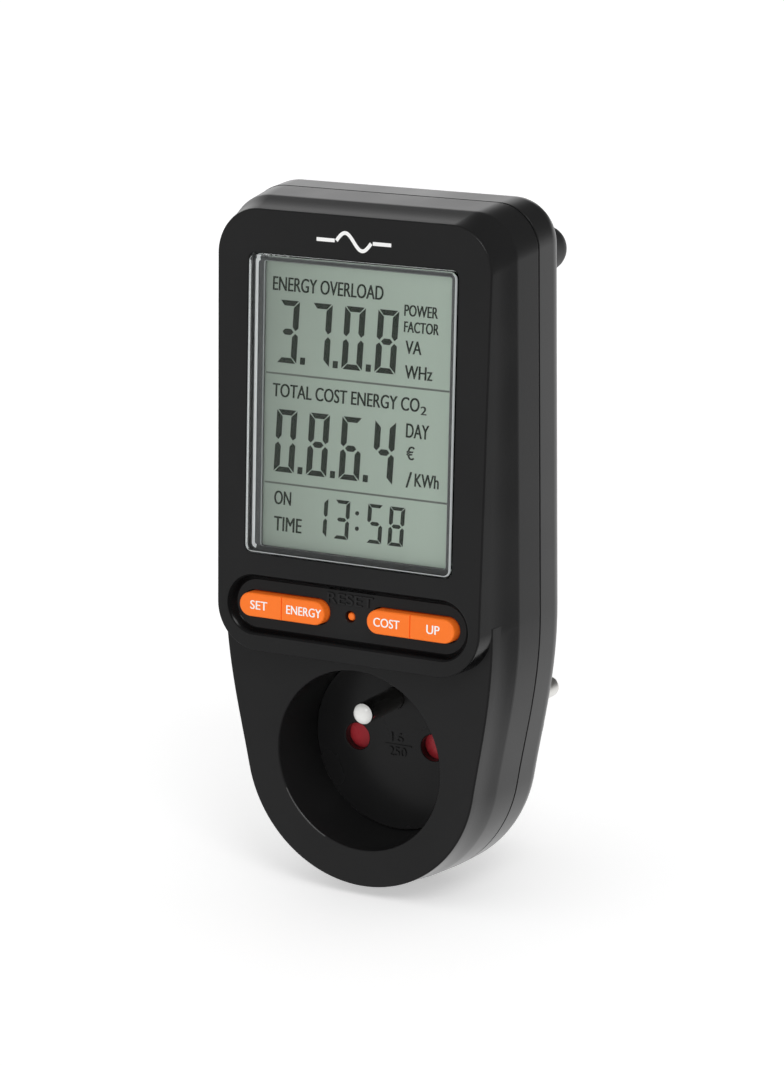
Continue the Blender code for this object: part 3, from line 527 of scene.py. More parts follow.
def board_material(name):
    """Solder resist over copper tracks, which show as narrow raised bands."""
    material, tree, shader = shader_of(name, (0.012, 0.12, 0.045), 0.32)
    place = add_node(tree, "TexCoord", {}).outputs["Object"]
    turn = add_node(tree, "Mapping", {"Vector": place, "Rotation": (math.radians(90), 0, 0)})
    tracks = add_node(tree, "TexBrick", {
        "Vector": turn.outputs["Vector"], "Scale": 190, "Mortar Size": 0.035, "Brick Width": 1.7,
        "Color1": (0.010, 0.10, 0.038, 1), "Color2": (0.014, 0.125, 0.05, 1),
        "Mortar": (0.03, 0.24, 0.08, 1)})
    set_inputs(shader, {"Base Color": tracks.outputs["Color"]})
    bump(shader, tracks.outputs["Fac"], 0.3, 0.00004)
    return material


MATERIALS = {
    "black_plastic": moulded("satin_black", (0.0145, 0.0145, 0.0148), 0.31, 0.03, 2600, 0.22, ior=1.42),
    "black_gloss": moulded("gloss_black", (0.0175, 0.0175, 0.018), 0.27, 0.03, 1800, 0.12, ior=1.44),
    "orange_key": moulded("orange_plastic_painted_glow", (0.97, 0.21, 0.022), 0.38, 0.05, 2400, 0.15, tint=0.05),
    "red_shutter": moulded("red_plastic", (0.62, 0.04, 0.055), 0.3, 0.05, 2000, 0.2, tint=0.12),
    "chip_black": moulded("chip_plastic", (0.014, 0.014, 0.015), 0.45, 0.06, 3000, 0.35),
    "rubber": moulded("soft_rubber", (0.017, 0.017, 0.018), 0.5, 0.07, 1500, 0.3),
    "grey_rubber": moulded("silicone", (0.15, 0.15, 0.16), 0.6, 0.06, 1500, 0.3, tint=0.1),
    "cap_yellow": moulded("film_capacitor_case", (0.72, 0.5, 0.06), 0.35, 0.05, 1200, 0.2, tint=0.08),
    "cap_blue": moulded("blue_coating", (0.03, 0.09, 0.36), 0.3, 0.08, 900, 0.5, tint=0.15),
    "cell_green": moulded("green_sleeve", (0.04, 0.27, 0.1), 0.3, 0.05, 700, 0.3, tint=0.1),
    "base_grey": moulded("grey_moulding", (0.23, 0.23, 0.22), 0.5, 0.05, 2200, 0.3, tint=0.08),
    "nickel": metal("nickel_plate", (0.69, 0.67, 0.63), 0.13, 0.05),
    "brass": metal("stamped_brass", (0.72, 0.52, 0.24), 0.26),
    "steel": metal("zinc_plate", (0.56, 0.57, 0.58), 0.3),
    "copper_alloy": metal("resistance_wire", (0.66, 0.37, 0.22), 0.3),
    "board_green": board_material("solder_resist"),
}


def lcd_material(name):
    """The display's reflective layer: grey-green, slightly mottled, with painted shade making it duller
    towards its left side.
    """
    material, tree, shader = shader_of(name, (0.53, 0.64, 0.53), 0.42, ior=1.35)
    place = add_node(tree, "TexCoord", {}).outputs["Object"]
    # Painted shade: the colour darkens towards the left, where the lens's edge shades the display.
    left_to_right = add_node(tree, "SeparateXYZ", {"Vector": place}).outputs["X"]
    half = LCD_WINDOW_HALF[0] * MM
    across = add_maths(tree, 'POWER', ranged(tree, left_to_right, -half, half, 0.0, 0.9), 0.5)
    mottle = ranged(tree, add_noise(tree, 30, 2.0), 0.3, 0.7, 0.0, 0.1)
    tone = mixed(tree, add_maths(tree, 'ADD', across, mottle), (0.37, 0.44, 0.375), (0.68, 0.805, 0.69))
    set_inputs(shader, {"Base Color": tone})
    bump(shader, add_noise(tree, 4500, 1.0), 0.05, 0.00001)
    return material


def printed(name, colour, roughness=0.5, specular=0.5, glow=0.0):
    """Printed ink, and also painted light lines and highlights: slightly uneven in tone and gloss."""
    material = moulded(name, colour, roughness, 0.05, 3500, 0.1, tint=0.06)
    set_inputs(principled(material), {"Specular IOR Level": specular, "Emission Color": (*colour, 1.0),
                                      "Emission Strength": glow})
    return material


def clear_material(name, roughness):
    """Polished clear plastic, with faint waviness."""
    material, tree, shader = shader_of(name, (0.97, 0.985, 0.98), roughness, ior=1.36)
    set_inputs(shader, {"Transmission Weight": 1.0})
    bump(shader, add_noise(tree, 160, 1.0), 0.04, 0.00002)
    return material


LCD = lcd_material("display_reflector")
INK = printed("display_segments", (0.007, 0.021, 0.007), 0.5, 0.1)
FAINT_INK = printed("display_divider", (0.19, 0.22, 0.19), 0.5, 0.2)
# White print, with a faint painted glow that makes it read brighter.
WHITE_INK = printed("white_print_painted_glow", (0.9, 0.9, 0.89), 0.55, 0.5, 0.12)
# Painted light: a pale grey on the lens's front edge and the display window's rim, a light line in place of
# the lens edge's refraction; the brighter copy below glows as a painted highlight.
PAINTED_EDGE_LIGHT = printed("painted_edge_light", (0.5, 0.53, 0.53), 0.3)
PAINTED_EDGE_HIGHLIGHT = printed("painted_edge_highlight", (0.9, 0.93, 0.93), 0.3, 0.5, 0.25)
BEZEL = printed("display_surround", (0.115, 0.12, 0.12), 0.5, 0.3)
SATIN_NICKEL = metal("satin_nickel", (0.8, 0.79, 0.76), 0.36, 0.05)
# Painted highlight: a near-white, slightly glowing finish on the earth pin's domed tip.
PAINTED_PIN_HIGHLIGHT = printed("pin_tip_painted_highlight", (0.8, 0.8, 0.78), 0.2, 0.8, 0.12)
# Painted shade: a near-black gloss laid on the tray's sloping walls and the console's underside, where shade
# falls.
PAINTED_SHADE = moulded("painted_shade_black", (0.004, 0.004, 0.0043), 0.24, 0.03, 1800, 0.1)
set_inputs(principled(PAINTED_SHADE), {"Specular IOR Level": 0.3})
# Painted highlight: a lighter grey laid on the lower left of the well's rim and of its floor's edge, where
# the key light glints.
PAINTED_RIM_HIGHLIGHT = printed("painted_rim_highlight", (0.09, 0.09, 0.09), 0.25)
CLEAR = clear_material("clear_lens", 0.02)


# ---- the case
def console_wall_rings(inset, proud, past_seam, face_depth=0.0, reach=0.55):
    """Rings of the console from its tilted face back to the seam. proud grows it sideways."""
    def outline(depth, extra):
        ahead = RIDGE[0] - depth
        grow = proud - inset - extra
        return panel_outline(RIDGE[1] - ahead * BAND_FLARE + grow, RIDGE[2] - ahead * TOP_FLARE + grow,
                             CONSOLE_BOTTOM + inset + extra, RIDGE[3] + 0.4 + grow, CONSOLE_CORNER + grow)

    def at_face(extra):
        """Where the console's side walls meet a plane behind its face."""
        ahead_of_all = -9
        shallow = outline(ahead_of_all, extra)
        deep = outline(RIDGE[0], extra)
        ring = []
        for (x0, z0), (x1, z1) in zip(shallow, deep):
            ends = []
            for depth, z in ((ahead_of_all, z0), (RIDGE[0], z1)):
                behind_face = (depth + CONSOLE_PROUD) * math.cos(CONSOLE_TILT) - z * math.sin(CONSOLE_TILT)
                ends.append(behind_face - face_depth)
            share = -ends[0] / (ends[1] - ends[0])
            depth = ahead_of_all + share * (RIDGE[0] - ahead_of_all)
            ring.append((depth, x0 + share * (x1 - x0), z0 + share * (z1 - z0)))
        return ring

    edge = at_face(0)
    inner = at_face(reach)
    ridge = [(RIDGE[0], x, z) for x, z in outline(RIDGE[0], 0)]
    hollow = []
    share, sink = COVE
    for start, end in zip(edge, ridge):
        depth, x, z = [a + (b - a) * share for a, b in zip(start, end)]
        across = end[1] - start[1]
        rise = end[2] - start[2]
        length = max(math.hypot(across, rise), 1e-6)
        hollow.append((depth, x - across / length * sink, z - rise / length * sink))
    seam_depth = SEAM_DEPTH + 1 if past_seam else SEAM_DEPTH - GAP / 2 - PROUD

    def at_seam(extra):
        grow = proud - inset - extra
        shape = panel_outline(SEAM[1] + grow, SEAM[2] + grow, CONSOLE_BOTTOM + inset + extra,
                              SEAM[3] + 0.4 + grow, CONSOLE_CORNER + grow)
        return [(seam_depth, x, z) for x, z in shape]

    return ruled((inner, edge, hollow, ridge, at_seam(0), at_seam(1)), (reach, *BAND_ROUNDING), 5)


def lower_case_rings(inset, top, first, past_seam):
    """Rings of the lower front case, from the socket's face to the seam, cut off straight at a height."""
    def ring(depth, half_width, arc_radius, extra=0.0):
        shrink = inset + extra
        shape = lower_outline(half_width - shrink, top - extra, arc_radius - shrink)
        return [(depth, x, z) for x, z in shape]

    face_width = RIDGE[1] - RIDGE[0] * BAND_FLARE
    seam_depth = SEAM_DEPTH + 1 if past_seam else SEAM_DEPTH - GAP / 2
    share, sink = COVE
    ends = ((first, RIDGE[0]), (face_width, RIDGE[1]), (FACE_ARC, RIDGE[4]))
    hollow = [a + (b - a) * share for a, b in ends]
    rows = (ring(first, face_width, FACE_ARC, 1.5), ring(first, face_width, FACE_ARC),
            ring(hollow[0], hollow[1] - sink, hollow[2] - sink), ring(RIDGE[0], RIDGE[1], RIDGE[4]),
            ring(seam_depth, SEAM[1], SEAM[4]), ring(seam_depth, SEAM[1], SEAM[4], 1.0))
    return ruled(rows, (0.45, *BAND_ROUNDING), 5)


def flared(name, outline_of, depth, rim, place=body, start=0.0):
    """A cutter whose mouth opens out in a rounded rim. outline_of(grow) gives its outline."""
    sections = [(start - 1.5, outline_of(rim))]
    sections += [(start + rim * (1 - cosine), outline_of(rim * (1 - sine))) for cosine, sine in quarter(5)]
    sections.append((depth, outline_of(0)))
    return loft(name, sections, place)


def key_outline(side, span, round_ends, grow):
    """A pill or half a pill, grown. A flat end moves a third as far inwards as the round sides."""
    inner, outer = span
    radius = KEY_RADIUS + grow
    flat = min(grow, 0) / 3
    points = []
    if round_ends[1]:
        points += arc(outer - KEY_RADIUS, KEY_HEIGHT, radius, 90, -90, 20)
    else:
        points += [(outer + flat, KEY_HEIGHT + radius), (outer + flat, KEY_HEIGHT - radius)]
    if round_ends[0]:
        points += arc(inner + KEY_RADIUS, KEY_HEIGHT, radius, -90, -270, 20)
    else:
        points += [(inner - flat, KEY_HEIGHT - radius), (inner - flat, KEY_HEIGHT + radius)]
    return [(side * x, z) for x, z in points]


def tray_outline(grow):
    return stadium(TRAY_HALF[0] + grow, TRAY_HALF[1] + grow, KEY_HEIGHT)


def tray_cutter():
    """The key tray: a wide rounded rim, a sloping wall and a small fillet round its floor."""
    profile = rounded([(0, TRAY_SLOPE + 0.1), (0.02, TRAY_SLOPE * 0.58), (TRAY_DEPTH - 0.02, 0.12),
                       (TRAY_DEPTH, -0.4)], (0.95, 0.3), 7)
    return loft("tray_cutter", [(-1.5, tray_outline(TRAY_SLOPE + 0.1))]
                + [(depth, tray_outline(grow)) for depth, grow in profile], console)


def make_front_housing():
    """The front shell: the console over the lower case, hollowed, with its bosses, well, window and tray."""
    housing = skin("front_shell", console_wall_rings(0, PROUD, False))
    join(housing, skin("lower_case", lower_case_rings(0, 60, 0, False)))
    cut(housing, skin("upper_hollow", console_wall_rings(WALL, PROUD, True, WALL)),
        skin("lower_hollow", lower_case_rings(WALL, 36, WALL, True)))
    tray_back = tray_outline(TRAY_SLOPE + 0.8)
    additions = [rod("well_tube", 1, 17.7, WELL_TUBE_RADIUS, sides=96),
                 loft("tray_back", [(1, tray_back), (TRAY_BACK, tray_back)], console)]
    for x, z in CASE_SCREWS:
        additions.append(rod("screw_boss", 2, SEAM_DEPTH + 0.2, 2.8, x, z, sides=32))
    for x, z in BOARD_SCREWS:
        additions.append(rod("board_boss", 1, BOARD_DEPTH - GAP, 1.9, x, z, console, 32))
    for addition in additions:
        join(housing, addition)

    rim = 0.4
    bore = WELL_RADIUS - 0.1
    well = [(-1.5, 0), (-1.5, WELL_RADIUS + rim)]
    well += [(rim * (1 - cosine), WELL_RADIUS + rim * (1 - sine)) for cosine, sine in quarter(6)]
    well += [(WELL_DEPTH, bore), (20, bore), (20, 0)]
    cut(housing, turned("well_bore", well, sides=128))

    def window(grow):
        half_x, half_z = LENS_HALF
        return rectangle(half_x + 0.16 + grow, half_z + 0.3 + grow, LENS_CENTRE, LENS_CORNER + grow)

    cut(housing, flared("window", window, 4, 0.35, console), tray_cutter())
    for side in (-1, 1):
        def opening(grow):
            return key_outline(side, KEY_SPAN, (True, True), GAP - 0.05 + grow)
        cut(housing, flared("key_opening", opening, 8, 0.15, console, start=TRAY_DEPTH))
    cut(housing, flared("reset_hole", lambda grow: circle(1.2 + grow, 0, RESET_HEIGHT, 40), 8, 0.2, console,
                        start=TRAY_DEPTH))
    for x, z in CASE_SCREWS:
        cut(housing, rod("case_pilot", 6.5, 20, 1.65, x, z, sides=24))
    for x, z in BOARD_SCREWS:
        cut(housing, rod("board_pilot", 4.5, 14, 1.1, x, z, console, 24))
    standard(housing, "black_plastic", "front_housing", "case")
    face_plane = Vector(console(0, 0, KEY_HEIGHT)) * MM

    def takes_painted_shade(along, face):
        """The faces given painted shade: the tray's sloping walls and the underside of the console."""
        behind = (face_plane - face.center).dot(CONSOLE_AHEAD) / MM
        up = face.center.z / MM
        in_tray = abs(face.center.x) / MM < 31 and abs(up - KEY_HEIGHT) < 8
        if in_tray and 0.12 < behind < TRAY_DEPTH - 0.03 and abs(along) < 0.9:
            return True
        return 21 < up < 34 and face.normal.z < -0.3 and behind > 0.35 and depth_of(face) < -0.05

    # Painted shade on the tray's walls and under the console.
    paint(housing, PAINTED_SHADE, CONSOLE_AHEAD, takes_painted_shade)
    # Painted highlight on the lower left of the well's rim.
    paint(housing, PAINTED_RIM_HIGHLIGHT, CONSOLE_AHEAD,
          lambda along, face: 0.03 < depth_of(face) < 0.14 and lower_left(face.center, WELL_RADIUS, 0.45))


def rear_rings(inset, first, last_depth):
    """Rings of the rear shell, from the seam over its belt and down its sloping edge to the back."""
    def ring(depth, sizes, extra=0.0, corner_share=1.0):
        half_width, top, corner, arc_radius = sizes
        shrink = inset + extra
        corner -= shrink * corner_share
        shape = case_outline(half_width - shrink, top - shrink, corner, arc_radius - shrink)
        return [(depth, x, z) for x, z in shape]

    kink = BELT[0] + RIM_EDGE * math.tan(RIM_SLOPE / 2)
    rim = (last_depth - kink) * math.tan(RIM_SLOPE)
    rows = [ring(first, SEAM[1:], 1.0), ring(first, SEAM[1:]), ring(kink, BELT[1:]),
            ring(last_depth, BELT[1:], rim, 0.6), ring(last_depth, BELT[1:], rim + 3, 0.6)]
    return ruled(rows, (0.22, 2.2, 0.9), 7)


def make_rear_housing():
    """The rear shell, with posts for the screws and holes for the plug, the screws and the feet."""
    housing = skin("rear_shell", rear_rings(0, SEAM_DEPTH + GAP / 2, BACK_DEPTH))
    cut(housing, skin("rear_hollow", rear_rings(WALL, SEAM_DEPTH - 2, BACK_DEPTH - WALL)))
    past_back = BACK_DEPTH + 1
    for x, z in CASE_SCREWS:
        post = rod("screw_post", SEAM_DEPTH + 0.5, past_back, 3.9, x, z, sides=40)
        combine(post, 'INTERSECT', skin("envelope", rear_rings(0, SEAM_DEPTH + GAP / 2, BACK_DEPTH)))
        join(housing, post)
    for x, z in POWER_SCREWS:
        join(housing, rod("board_post", 26.9, BACK_DEPTH - 1, 2.2, x, z, sides=32))
    cut(housing, rod("plug_opening", 25, past_back, BOSS_RADIUS + 0.15, sides=96))
    for x, z in CASE_SCREWS:
        cut(housing, rod("screw_well", 21.5, BACK_DEPTH + 5, 3.2, x, z, sides=40))
        cut(housing, rod("screw_hole", 10, 25, 1.7, x, z, sides=24))
    for side in (-1, 1):
        cut(housing, rod("foot_hole", 28, past_back, 2.2, side * FOOT_PLACE[0], FOOT_PLACE[1], sides=32))
    for x, z in POWER_SCREWS:
        cut(housing, rod("power_pilot", 20, 30, 1.1, x, z, sides=24))
    standard(housing, "black_plastic", "rear_housing", "case")


def make_plug_base():
    """The plug's boss: a hollow drum with a flange inside the case, grooves, clip slots and pin holes."""
    flange = depths("plug_base")[0]
    inside = BACK_DEPTH - WALL - GAP
    profile = [(flange, 0), (flange, 21), (inside, 21), (inside, BOSS_RADIUS), (SOCKET_TO_PLUG, BOSS_RADIUS),
               (SOCKET_TO_PLUG, 0)]
    base = turned("plug_body", rounded(profile, (0.2, 0.2, 0, 0.6)), sides=96)
    cut(base, rod("boss_hollow", 25, SOCKET_TO_PLUG - WALL, 14))
    for side in (-1, 1):
        join(base, rod("sleeve", 45.5, 51, 4.2, side * PIN_SIDE, sides=40))
    past_end = SOCKET_TO_PLUG + 1

    def mouth(name, first, radius, flare_start, flare, x, z):
        """A hole that widens at the boss's end."""
        wide = radius + flare
        flare_end = SOCKET_TO_PLUG + 0.1
        profile = [(first, 0), (first, radius), (flare_start, radius), (flare_end, wide), (past_end, wide)]
        return turned(name, profile + [(past_end, 0)], x, z, sides=48)

    for side in (-1, 1):
        inner, outer = sorted((side * (BOSS_RADIUS - 2.2), side * (BOSS_RADIUS + 2)))
        cut(base, block("groove", (inner, BACK_DEPTH + 2, -2.7), (outer, past_end, 2.7), 0.35))
        inner, outer = sorted((side * 16, side * (BOSS_RADIUS + 2)))
        cut(base, block("clip_recess", (-3.6, 37, inner), (3.6, past_end, outer), 0.3))
        inner, outer = sorted((side * 12, side * 17))
        cut(base, block("clip_slot", (-3.6, 37, inner), (3.6, 39, outer)))
        cut(base, mouth("pin_hole", 44, PIN_RADIUS + 0.12, 51.7, 0.33, side * PIN_SIDE, 0))
    cut(base, mouth("earth_hole", 47, HOLE_RADIUS, 51.6, 0.5, 0, EARTH_HEIGHT))
    standard(base, "black_plastic", "plug_base", "case")


def make_feet():
    """Rubber spacers with a domed end, a shallow waist and a flange against the back."""
    for side, label in ((-1, "left"), (1, "right")):
        node = "spacer_foot_" + label
        end = depths(node)[1]
        base = BACK_DEPTH + GAP / 2
        radius = 5.1
        stem = 1.9
        flange = 5.4
        profile = [(29.6, 0), (29.6, stem), (base, stem), (base, flange), (base + 1.2, flange)]
        profile.append((base + 1.8, 5.15))
        profile += [(end - radius + radius * sine, radius * cosine) for cosine, sine in quarter(12)]
        made = turned(node + "_fine", profile, side * FOOT_PLACE[0], FOOT_PLACE[1], sides=48)
        standard(made, "rubber", node, "case", 50)


# ---- display
def make_lens():
    """A clear window with a rounded front edge, a flange behind the case's face and a bevel at its back.
    Its front edge, but for the top, carries a painted light line, and the left of its back bevel a brighter
    painted highlight that glows, so they read as light lines."""
    edge = 0.5
    sections = [(-0.5, -1.6), (-0.5, -edge - 0.15)]
    sections += [(0.01 - edge * cosine, -edge + edge * sine) for cosine, sine in quarter(4)]
    sections += [(2.3, 0.0), (2.3, 0.9), (LENS_BACK, 0.9), (LENS_BACK, -0.55), (LENS_BACK - 0.3, -1.4)]
    half_x, half_z = LENS_HALF
    outlines = []
    for depth, grow in sections:
        corner = max(0.5, LENS_CORNER + grow)
        outlines.append((depth, rectangle(half_x + grow, half_z + grow, LENS_CENTRE, corner)))
    made = loft("lens_window", outlines, console)
    piece(made, CLEAR, "case", ["display_lens"], 20)
    # Painted light on the front edge but its top; a glowing painted highlight on the left of the back bevel.
    paint(made, PAINTED_EDGE_LIGHT, CONSOLE_AHEAD, lambda along, face: 0.1 < along < 0.97 and face.normal.z < 0.5)
    paint(made, PAINTED_EDGE_HIGHLIGHT, CONSOLE_AHEAD,
          lambda along, face: -0.97 < along < -0.1 and face.center.x < -0.02)


def make_lcd():
    frame_outline = rectangle(*LCD_FRAME_HALF, LENS_CENTRE, 1.5)
    bezel = loft("lcd_bezel", [(LCD_FRAME_FRONT, frame_outline), (8.2, frame_outline)], console)

    def window(grow):
        return rectangle(LCD_WINDOW_HALF[0] + grow, LCD_WINDOW_HALF[1] + grow, LCD_WINDOW_CENTRE, 0.5 + grow)

    pocket = rectangle(LCD_HALF[0] + GAP, LCD_HALF[1] + GAP, LENS_CENTRE, 0.5)
    cut(bezel, loft("lcd_pocket", [(LCD_FRONT - 0.1, pocket), (9, pocket)], console),
        flared("lcd_window", window, 9, 0.25, console, start=LCD_FRAME_FRONT))
    piece(bezel, BEZEL, "case", ["lcd_frame"])
    # Painted light line on the display window's rim.
    paint(bezel, PAINTED_EDGE_LIGHT, CONSOLE_AHEAD,
          lambda along, face: 0.1 < along < 0.97 and abs(face.normal.z) < 0.5)

    half_x, half_z = LCD_HALF
    panel = rectangle(half_x, half_z, LENS_CENTRE, 0.4)
    front = rectangle(half_x - 0.1, half_z - 0.1, LENS_CENTRE, 0.3)
    sections = [(LCD_FRONT, front), (LCD_FRONT + 0.1, panel), (LCD_BACK, panel)]
    piece(loft("lcd_glass_stack", sections, console), LCD, "case", ["lcd_panel"])


SEGMENTS = {"0": "abcdef", "1": "bc", "3": "abgcd", "4": "fgbc", "5": "afgcd", "6": "afgecd", "7": "abc",
            "8": "abcdefg"}
SLANT = 0.055


def segment_shapes(width, height, stroke):
    """The seven strokes of a digit as outlines, from its lower left corner."""
    slit = stroke * 0.1
    middle = height / 2
    half = stroke / 2
    notch = stroke * 0.95

    def upright(x, low_z, high_z, inner):
        """A side stroke: its outer corner is cut steeply where it meets the top or the bottom."""
        towards = stroke if inner > 0 else -stroke
        if low_z < middle:
            return [(x, low_z + slit), (x + towards, low_z + notch + slit),
                    (x + towards, middle - half - slit * 3), (x + towards / 2, middle - slit * 2),
                    (x, middle - half - slit)]
        return [(x, middle + half + slit), (x + towards / 2, middle + slit * 2),
                (x + towards, middle + half + slit * 3), (x + towards, high_z - notch - slit),
                (x, high_z - slit)]

    bar = stroke * 0.8
    cap = 0.12 * stroke
    point = stroke * 1.25
    rise = half * 0.9
    return {
        "a": [(cap + slit, height), (width - cap - slit, height), (width - bar - cap, height - bar),
              (bar + cap, height - bar)],
        "d": [(cap + slit, 0), (bar + cap, bar), (width - bar - cap, bar), (width - cap - slit, 0)],
        "g": [(bar, middle), (point, middle + rise), (width - point, middle + rise), (width - bar, middle),
              (width - point, middle - rise), (point, middle - rise)],
        "f": upright(0, middle, height, 1),
        "b": upright(width, middle, height, -1),
        "e": upright(0, 0, middle, 1),
        "c": upright(width, 0, middle, -1),
    }


def add_plate(work, outline, x, z, thickness=0.05):
    """Adds a thin raised shape on the display, slanted like its digits."""
    slanted = [(x + px + pz * SLANT, LENS_CENTRE + z + pz) for px, pz in outline]
    front, back = [[work.verts.new(console(px, at, pz)) for px, pz in slanted]
                   for at in (LCD_FRONT - thickness, LCD_FRONT + 0.02)]
    work.faces.new(front)
    work.faces.new(back)
    for i in range(len(front)):
        j = (i + 1) % len(front)
        work.faces.new((front[i], front[j], back[j], back[i]))


def add_digits(work, text, x, z, width, height, stroke, pitch):
    shapes = segment_shapes(width, height, stroke)
    for character in text:
        if character == ".":
            dot = stroke * 0.85
            gap_centre = x - (pitch - width) / 2 - dot / 2
            add_plate(work, [(0, 0), (dot, 0), (dot, dot * 1.25), (0, dot * 1.25)], gap_centre, z)
            continue
        for segment in SEGMENTS[character]:
            add_plate(work, shapes[segment], x, z)
        x += pitch


# text, left and bottom from the display's middle, width, height, stroke, pitch
DIGITS = (
    ("3.7.0.8", -19.9, 9.0, 5.0, 13.4, 1.42, 8.05),
    ("0.8.6.4", -20.1, -14.5, 5.0, 13.5, 1.42, 8.05),
    ("1", -10.5, -27.4, 3.7, 8.4, 0.92, 5.3),
    ("3", -5.1, -27.4, 3.7, 8.4, 0.92, 5.3),
    ("58", 3.0, -27.4, 3.7, 8.4, 0.92, 5.25),
)
COLON = (0.75, (-24.7, -21.4), 0.48)  # place across, heights, dot radius
DIVIDER = (-22.3, (6.4, -17.2), 44.6, 0.4)  # left end, heights, length, thickness


def make_digits():
    """The display's dark digits and colon, and the paler lines between its three fields."""
    work = bmesh.new()
    for row in DIGITS:
        add_digits(work, *row)
    across, heights, radius = COLON
    for height in heights:
        add_plate(work, circle(radius, sides=12), across, height)
    piece(new_object("display_digits", work), INK, "case")

    work = bmesh.new()
    left, heights, length, thick = DIVIDER
    for height in heights:
        add_plate(work, [(0, 0), (length, 0), (length, thick), (0, thick)], left, height, 0.04)
    piece(new_object("display_dividers", work), FAINT_INK, "case")


def lettering(name, text, left, bottom, width, height, depth, thickness, material, rides, bold, slant=0.0,
              place=console):
    """Flat raised letters fitted to a width and a height. Two copies, bold apart, widen each stroke."""
    curve = bpy.data.curves.new(name, 'FONT')
    curve.body = text
    curve.extrude = 0.5
    curve.resolution_u = 5
    guide = bpy.data.objects.new(name + "_guide", curve)
    bpy.context.scene.collection.objects.link(guide)
    bpy.context.view_layer.update()
    mesh = bpy.data.meshes.new_from_object(guide.evaluated_get(bpy.context.evaluated_depsgraph_get()))
    bpy.data.objects.remove(guide)
    work = bmesh.new()
    work.from_mesh(mesh)
    bpy.data.meshes.remove(mesh)
    bmesh.ops.remove_doubles(work, verts=work.verts, dist=0.0001)
    lows = [min(v.co[axis] for v in work.verts) for axis in range(3)]
    highs = [max(v.co[axis] for v in work.verts) for axis in range(3)]
    first = work.verts[:]
    copies = bmesh.ops.duplicate(work, geom=work.verts[:] + work.edges[:] + work.faces[:])["geom"]
    second = [element for element in copies if isinstance(element, bmesh.types.BMVert)]
    for verts, shift, lift in ((first, -bold, 0.0), (second, bold, 0.004)):
        for vert in verts:
            share = [(vert.co[axis] - lows[axis]) / (highs[axis] - lows[axis]) for axis in range(3)]
            x = left + share[0] * width + share[1] * height * slant + shift
            vert.co = place(x, depth - share[2] * (thickness + lift), bottom + share[1] * height)
    piece(new_object(name, work), material, rides)


# name, text, left and bottom from the display's middle, width, height
LCD_WORDS = (
    ("word_energy_overload", "ENERGY OVERLOAD", -20.9, 24.3, 26.9, 3.0),
    ("word_power", "POWER", 11.2, 21.5, 7.9, 2.4),
    ("word_factor", "FACTOR", 11.2, 18.1, 8.2, 2.3),
    ("word_va", "VA", 11.6, 13.6, 3.8, 2.8),
    ("word_w_hz", "WHz", 11.6, 8.4, 6.5, 2.8),
    ("word_totals", "TOTAL COST ENERGY CO", -20.6, 1.6, 35.8, 2.9),
    ("word_two", "2", 15.6, 1.1, 1.3, 1.8),
    ("word_day", "DAY", 12.2, -4.0, 5.4, 3.0),
    ("word_euro", "€", 12.4, -8.7, 1.8, 2.9),
    ("word_per", "/", 12.4, -14.6, 1.3, 3.4),
    ("word_kwh", "KWh", 14.5, -14.2, 5.7, 2.8),
    ("word_on", "ON", -19.8, -21.6, 4.1, 3.0),
    ("word_time", "TIME", -19.8, -27.3, 6.8, 3.1),
)


def make_display_words():
    for name, text, left, bottom, width, height in LCD_WORDS:
        lettering(name, text, left, LENS_CENTRE + bottom, width, height, LCD_FRONT + 0.02, 0.06, INK, "case",
                  0.07, 0.03)


WAVE_CENTRE = (0.3, 112.9)
WAVE_SIZE = (8.4, 1.75, 0.78)  # length, height of a crest, line width
WAVE_RULE = (4.6, 9.0)  # where the rules beside it start and end


def make_marks():
    """A printed wave between two rules above the display, and low raised marks in the tray and the well."""
    length, crest, line = WAVE_SIZE
    near, far = WAVE_RULE
    wave = [(length * (i / 40 - 0.5), crest * math.sin(math.tau * i / 40)) for i in range(41)]
    work = bmesh.new()
    for run in ([(-far, 0.0), (-near, 0.0)], wave, [(near, 0.0), (far, 0.0)]):
        sides = ([], [])
        for i, point in enumerate(run):
            before = run[max(i - 1, 0)]
            after = run[min(i + 1, len(run) - 1)]
            along = Vector((after[0] - before[0], after[1] - before[1])).normalized() * (line / 2)
            at = (WAVE_CENTRE[0] + point[0], WAVE_CENTRE[1] + point[1])
            sides[0].append((at[0] - along.y, at[1] + along.x))
            sides[1].append((at[0] + along.y, at[1] - along.x))
        outline = sides[0] + sides[1][::-1]
        rows = [[work.verts.new(console(x, depth, z)) for x, z in outline] for depth in (-0.03, 0.02)]
        for row in rows:
            for i in range(len(run) - 1):
                work.faces.new((row[i], row[i + 1], row[-i - 2], row[-i - 1]))
        for i in range(len(outline)):
            j = (i + 1) % len(outline)
            work.faces.new((rows[0][i], rows[0][j], rows[1][j], rows[1][i]))
    piece(new_object("printed_wave", work), WHITE_INK, "case")

    gloss = MATERIALS["black_gloss"]
    raised = 0.3
    floor = WELL_DEPTH + 0.02
    lettering("reset_marking", "RESET", -5.6, RESET_HEIGHT + 2.45, 11.2, 2.35, TRAY_DEPTH + 0.02, raised,
              gloss, "case", 0.05)
    ratings = (("rating_upper", "16", -0.9, 0.15, 3.0), ("rating_lower", "250", -1.6, -3.1, 4.4))
    for name, text, left, bottom, width in ratings:
        lettering(name, text, left, bottom, width, 2.1, floor, raised, gloss, "case", 0.04, place=body)
    piece(block("rating_rule", (-2.4, WELL_DEPTH - 0.25, -0.65), (4.2, floor, -0.35), 0.04), gloss, "case")


